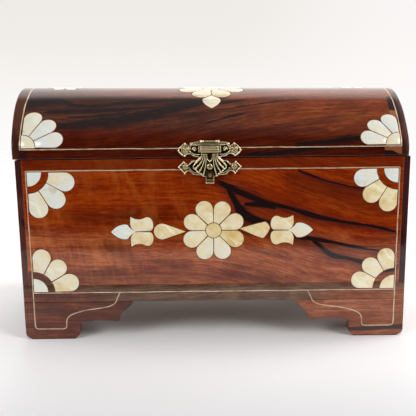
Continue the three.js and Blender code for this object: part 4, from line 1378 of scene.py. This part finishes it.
def world():
    """Near white to the camera, with a painted shade that darkens the backdrop's upper left. As
    light: a white sweep behind the object and a dim room elsewhere.
    """
    scene = bpy.context.scene
    scene.world = scene.world or bpy.data.worlds.new("studio")
    scene.world.use_nodes = True
    g = Graph.__new__(Graph)
    g.tree = scene.world.node_tree
    g.tree.nodes.clear()
    x, y, z = g.split(g.node("TexCoord", {}, output="Generated"))
    sweep = g.smooth(z, sin(radians(51)), sin(radians(36))) * g.smooth(y, -0.1, 0.3)
    room = g.mix(g.smooth(y, -0.4, 0.0), (0.025, 0.025, 0.025, 1), (0.22, 0.22, 0.225, 1))
    light = g.mix(sweep, room, (1.2, 1.19, 1.17, 1))
    # Painted shade on the backdrop: above the horizon it is darker to the left.
    top = g.mix(g.smooth(x, 0.0, 0.26), (0.86, 0.825, 0.785, 1), (0.96, 0.92, 0.91, 1))
    backdrop = g.mix(g.smooth(z, -0.16, 0.02), (0.985, 0.97, 0.955, 1), top)
    colour = g.mix(g.node("LightPath", {}, output="Is Camera Ray"), light, backdrop)
    background = g.node("Background", {"Color": colour, "Strength": 1.0})
    out = g.tree.nodes.new("ShaderNodeOutputWorld")
    g.tree.links.new(background.socket, out.inputs["Surface"])


def lamps():
    for name, at, aim, size, power, glossy in (
        ("soft_left", (-1.0, -0.9, 0.9), 0.08, 0.8, 11, True),
        ("soft_right", (1.1, -0.8, 0.9), 0.08, 0.8, 15, True),
        ("soft_top", (0, -0.1, 1.5), 0, 1.2, 5, False),
        ("window", (1.0, 0.25, 0.7), 0.05, 0.6, 6, True),
        ("behind", (0, 0.9, 0.7), 0, 0.8, 6, False),
        ("low_left", (-1.0, 0.1, 0.3), 0, 0.3, 2.5, False),
        ("low_right", (1.0, 0.1, 0.3), 0, 0.3, 2.5, False),
    ):
        light = bpy.data.lights.new(name, "AREA")
        light.shape = "DISK"
        light.size = size
        light.energy = power
        holder = linked(name, light)
        holder.location = at
        towards = Vector((0, 0, aim)) - Vector(at)
        holder.rotation_euler = towards.to_track_quat("-Z", "Y").to_euler()
        holder.visible_glossy = glossy


def camera():
    data = bpy.data.cameras.new("camera")
    data.sensor_width = 36
    data.lens = 69.3
    eye = linked("camera", data)
    down, roll = radians(13.5), radians(-0.671)
    place = Matrix.Translation(Vector((-3.6, -624.3, 232.8)) * MM)
    eye.matrix_world = (
        place @ Matrix.Rotation(pi / 2 - down, 4, "X") @ Matrix.Rotation(roll, 4, "Z"))
    bpy.context.scene.camera = eye


floor()
world()
lamps()
camera()
bpy.context.scene.view_settings.view_transform = "Standard"
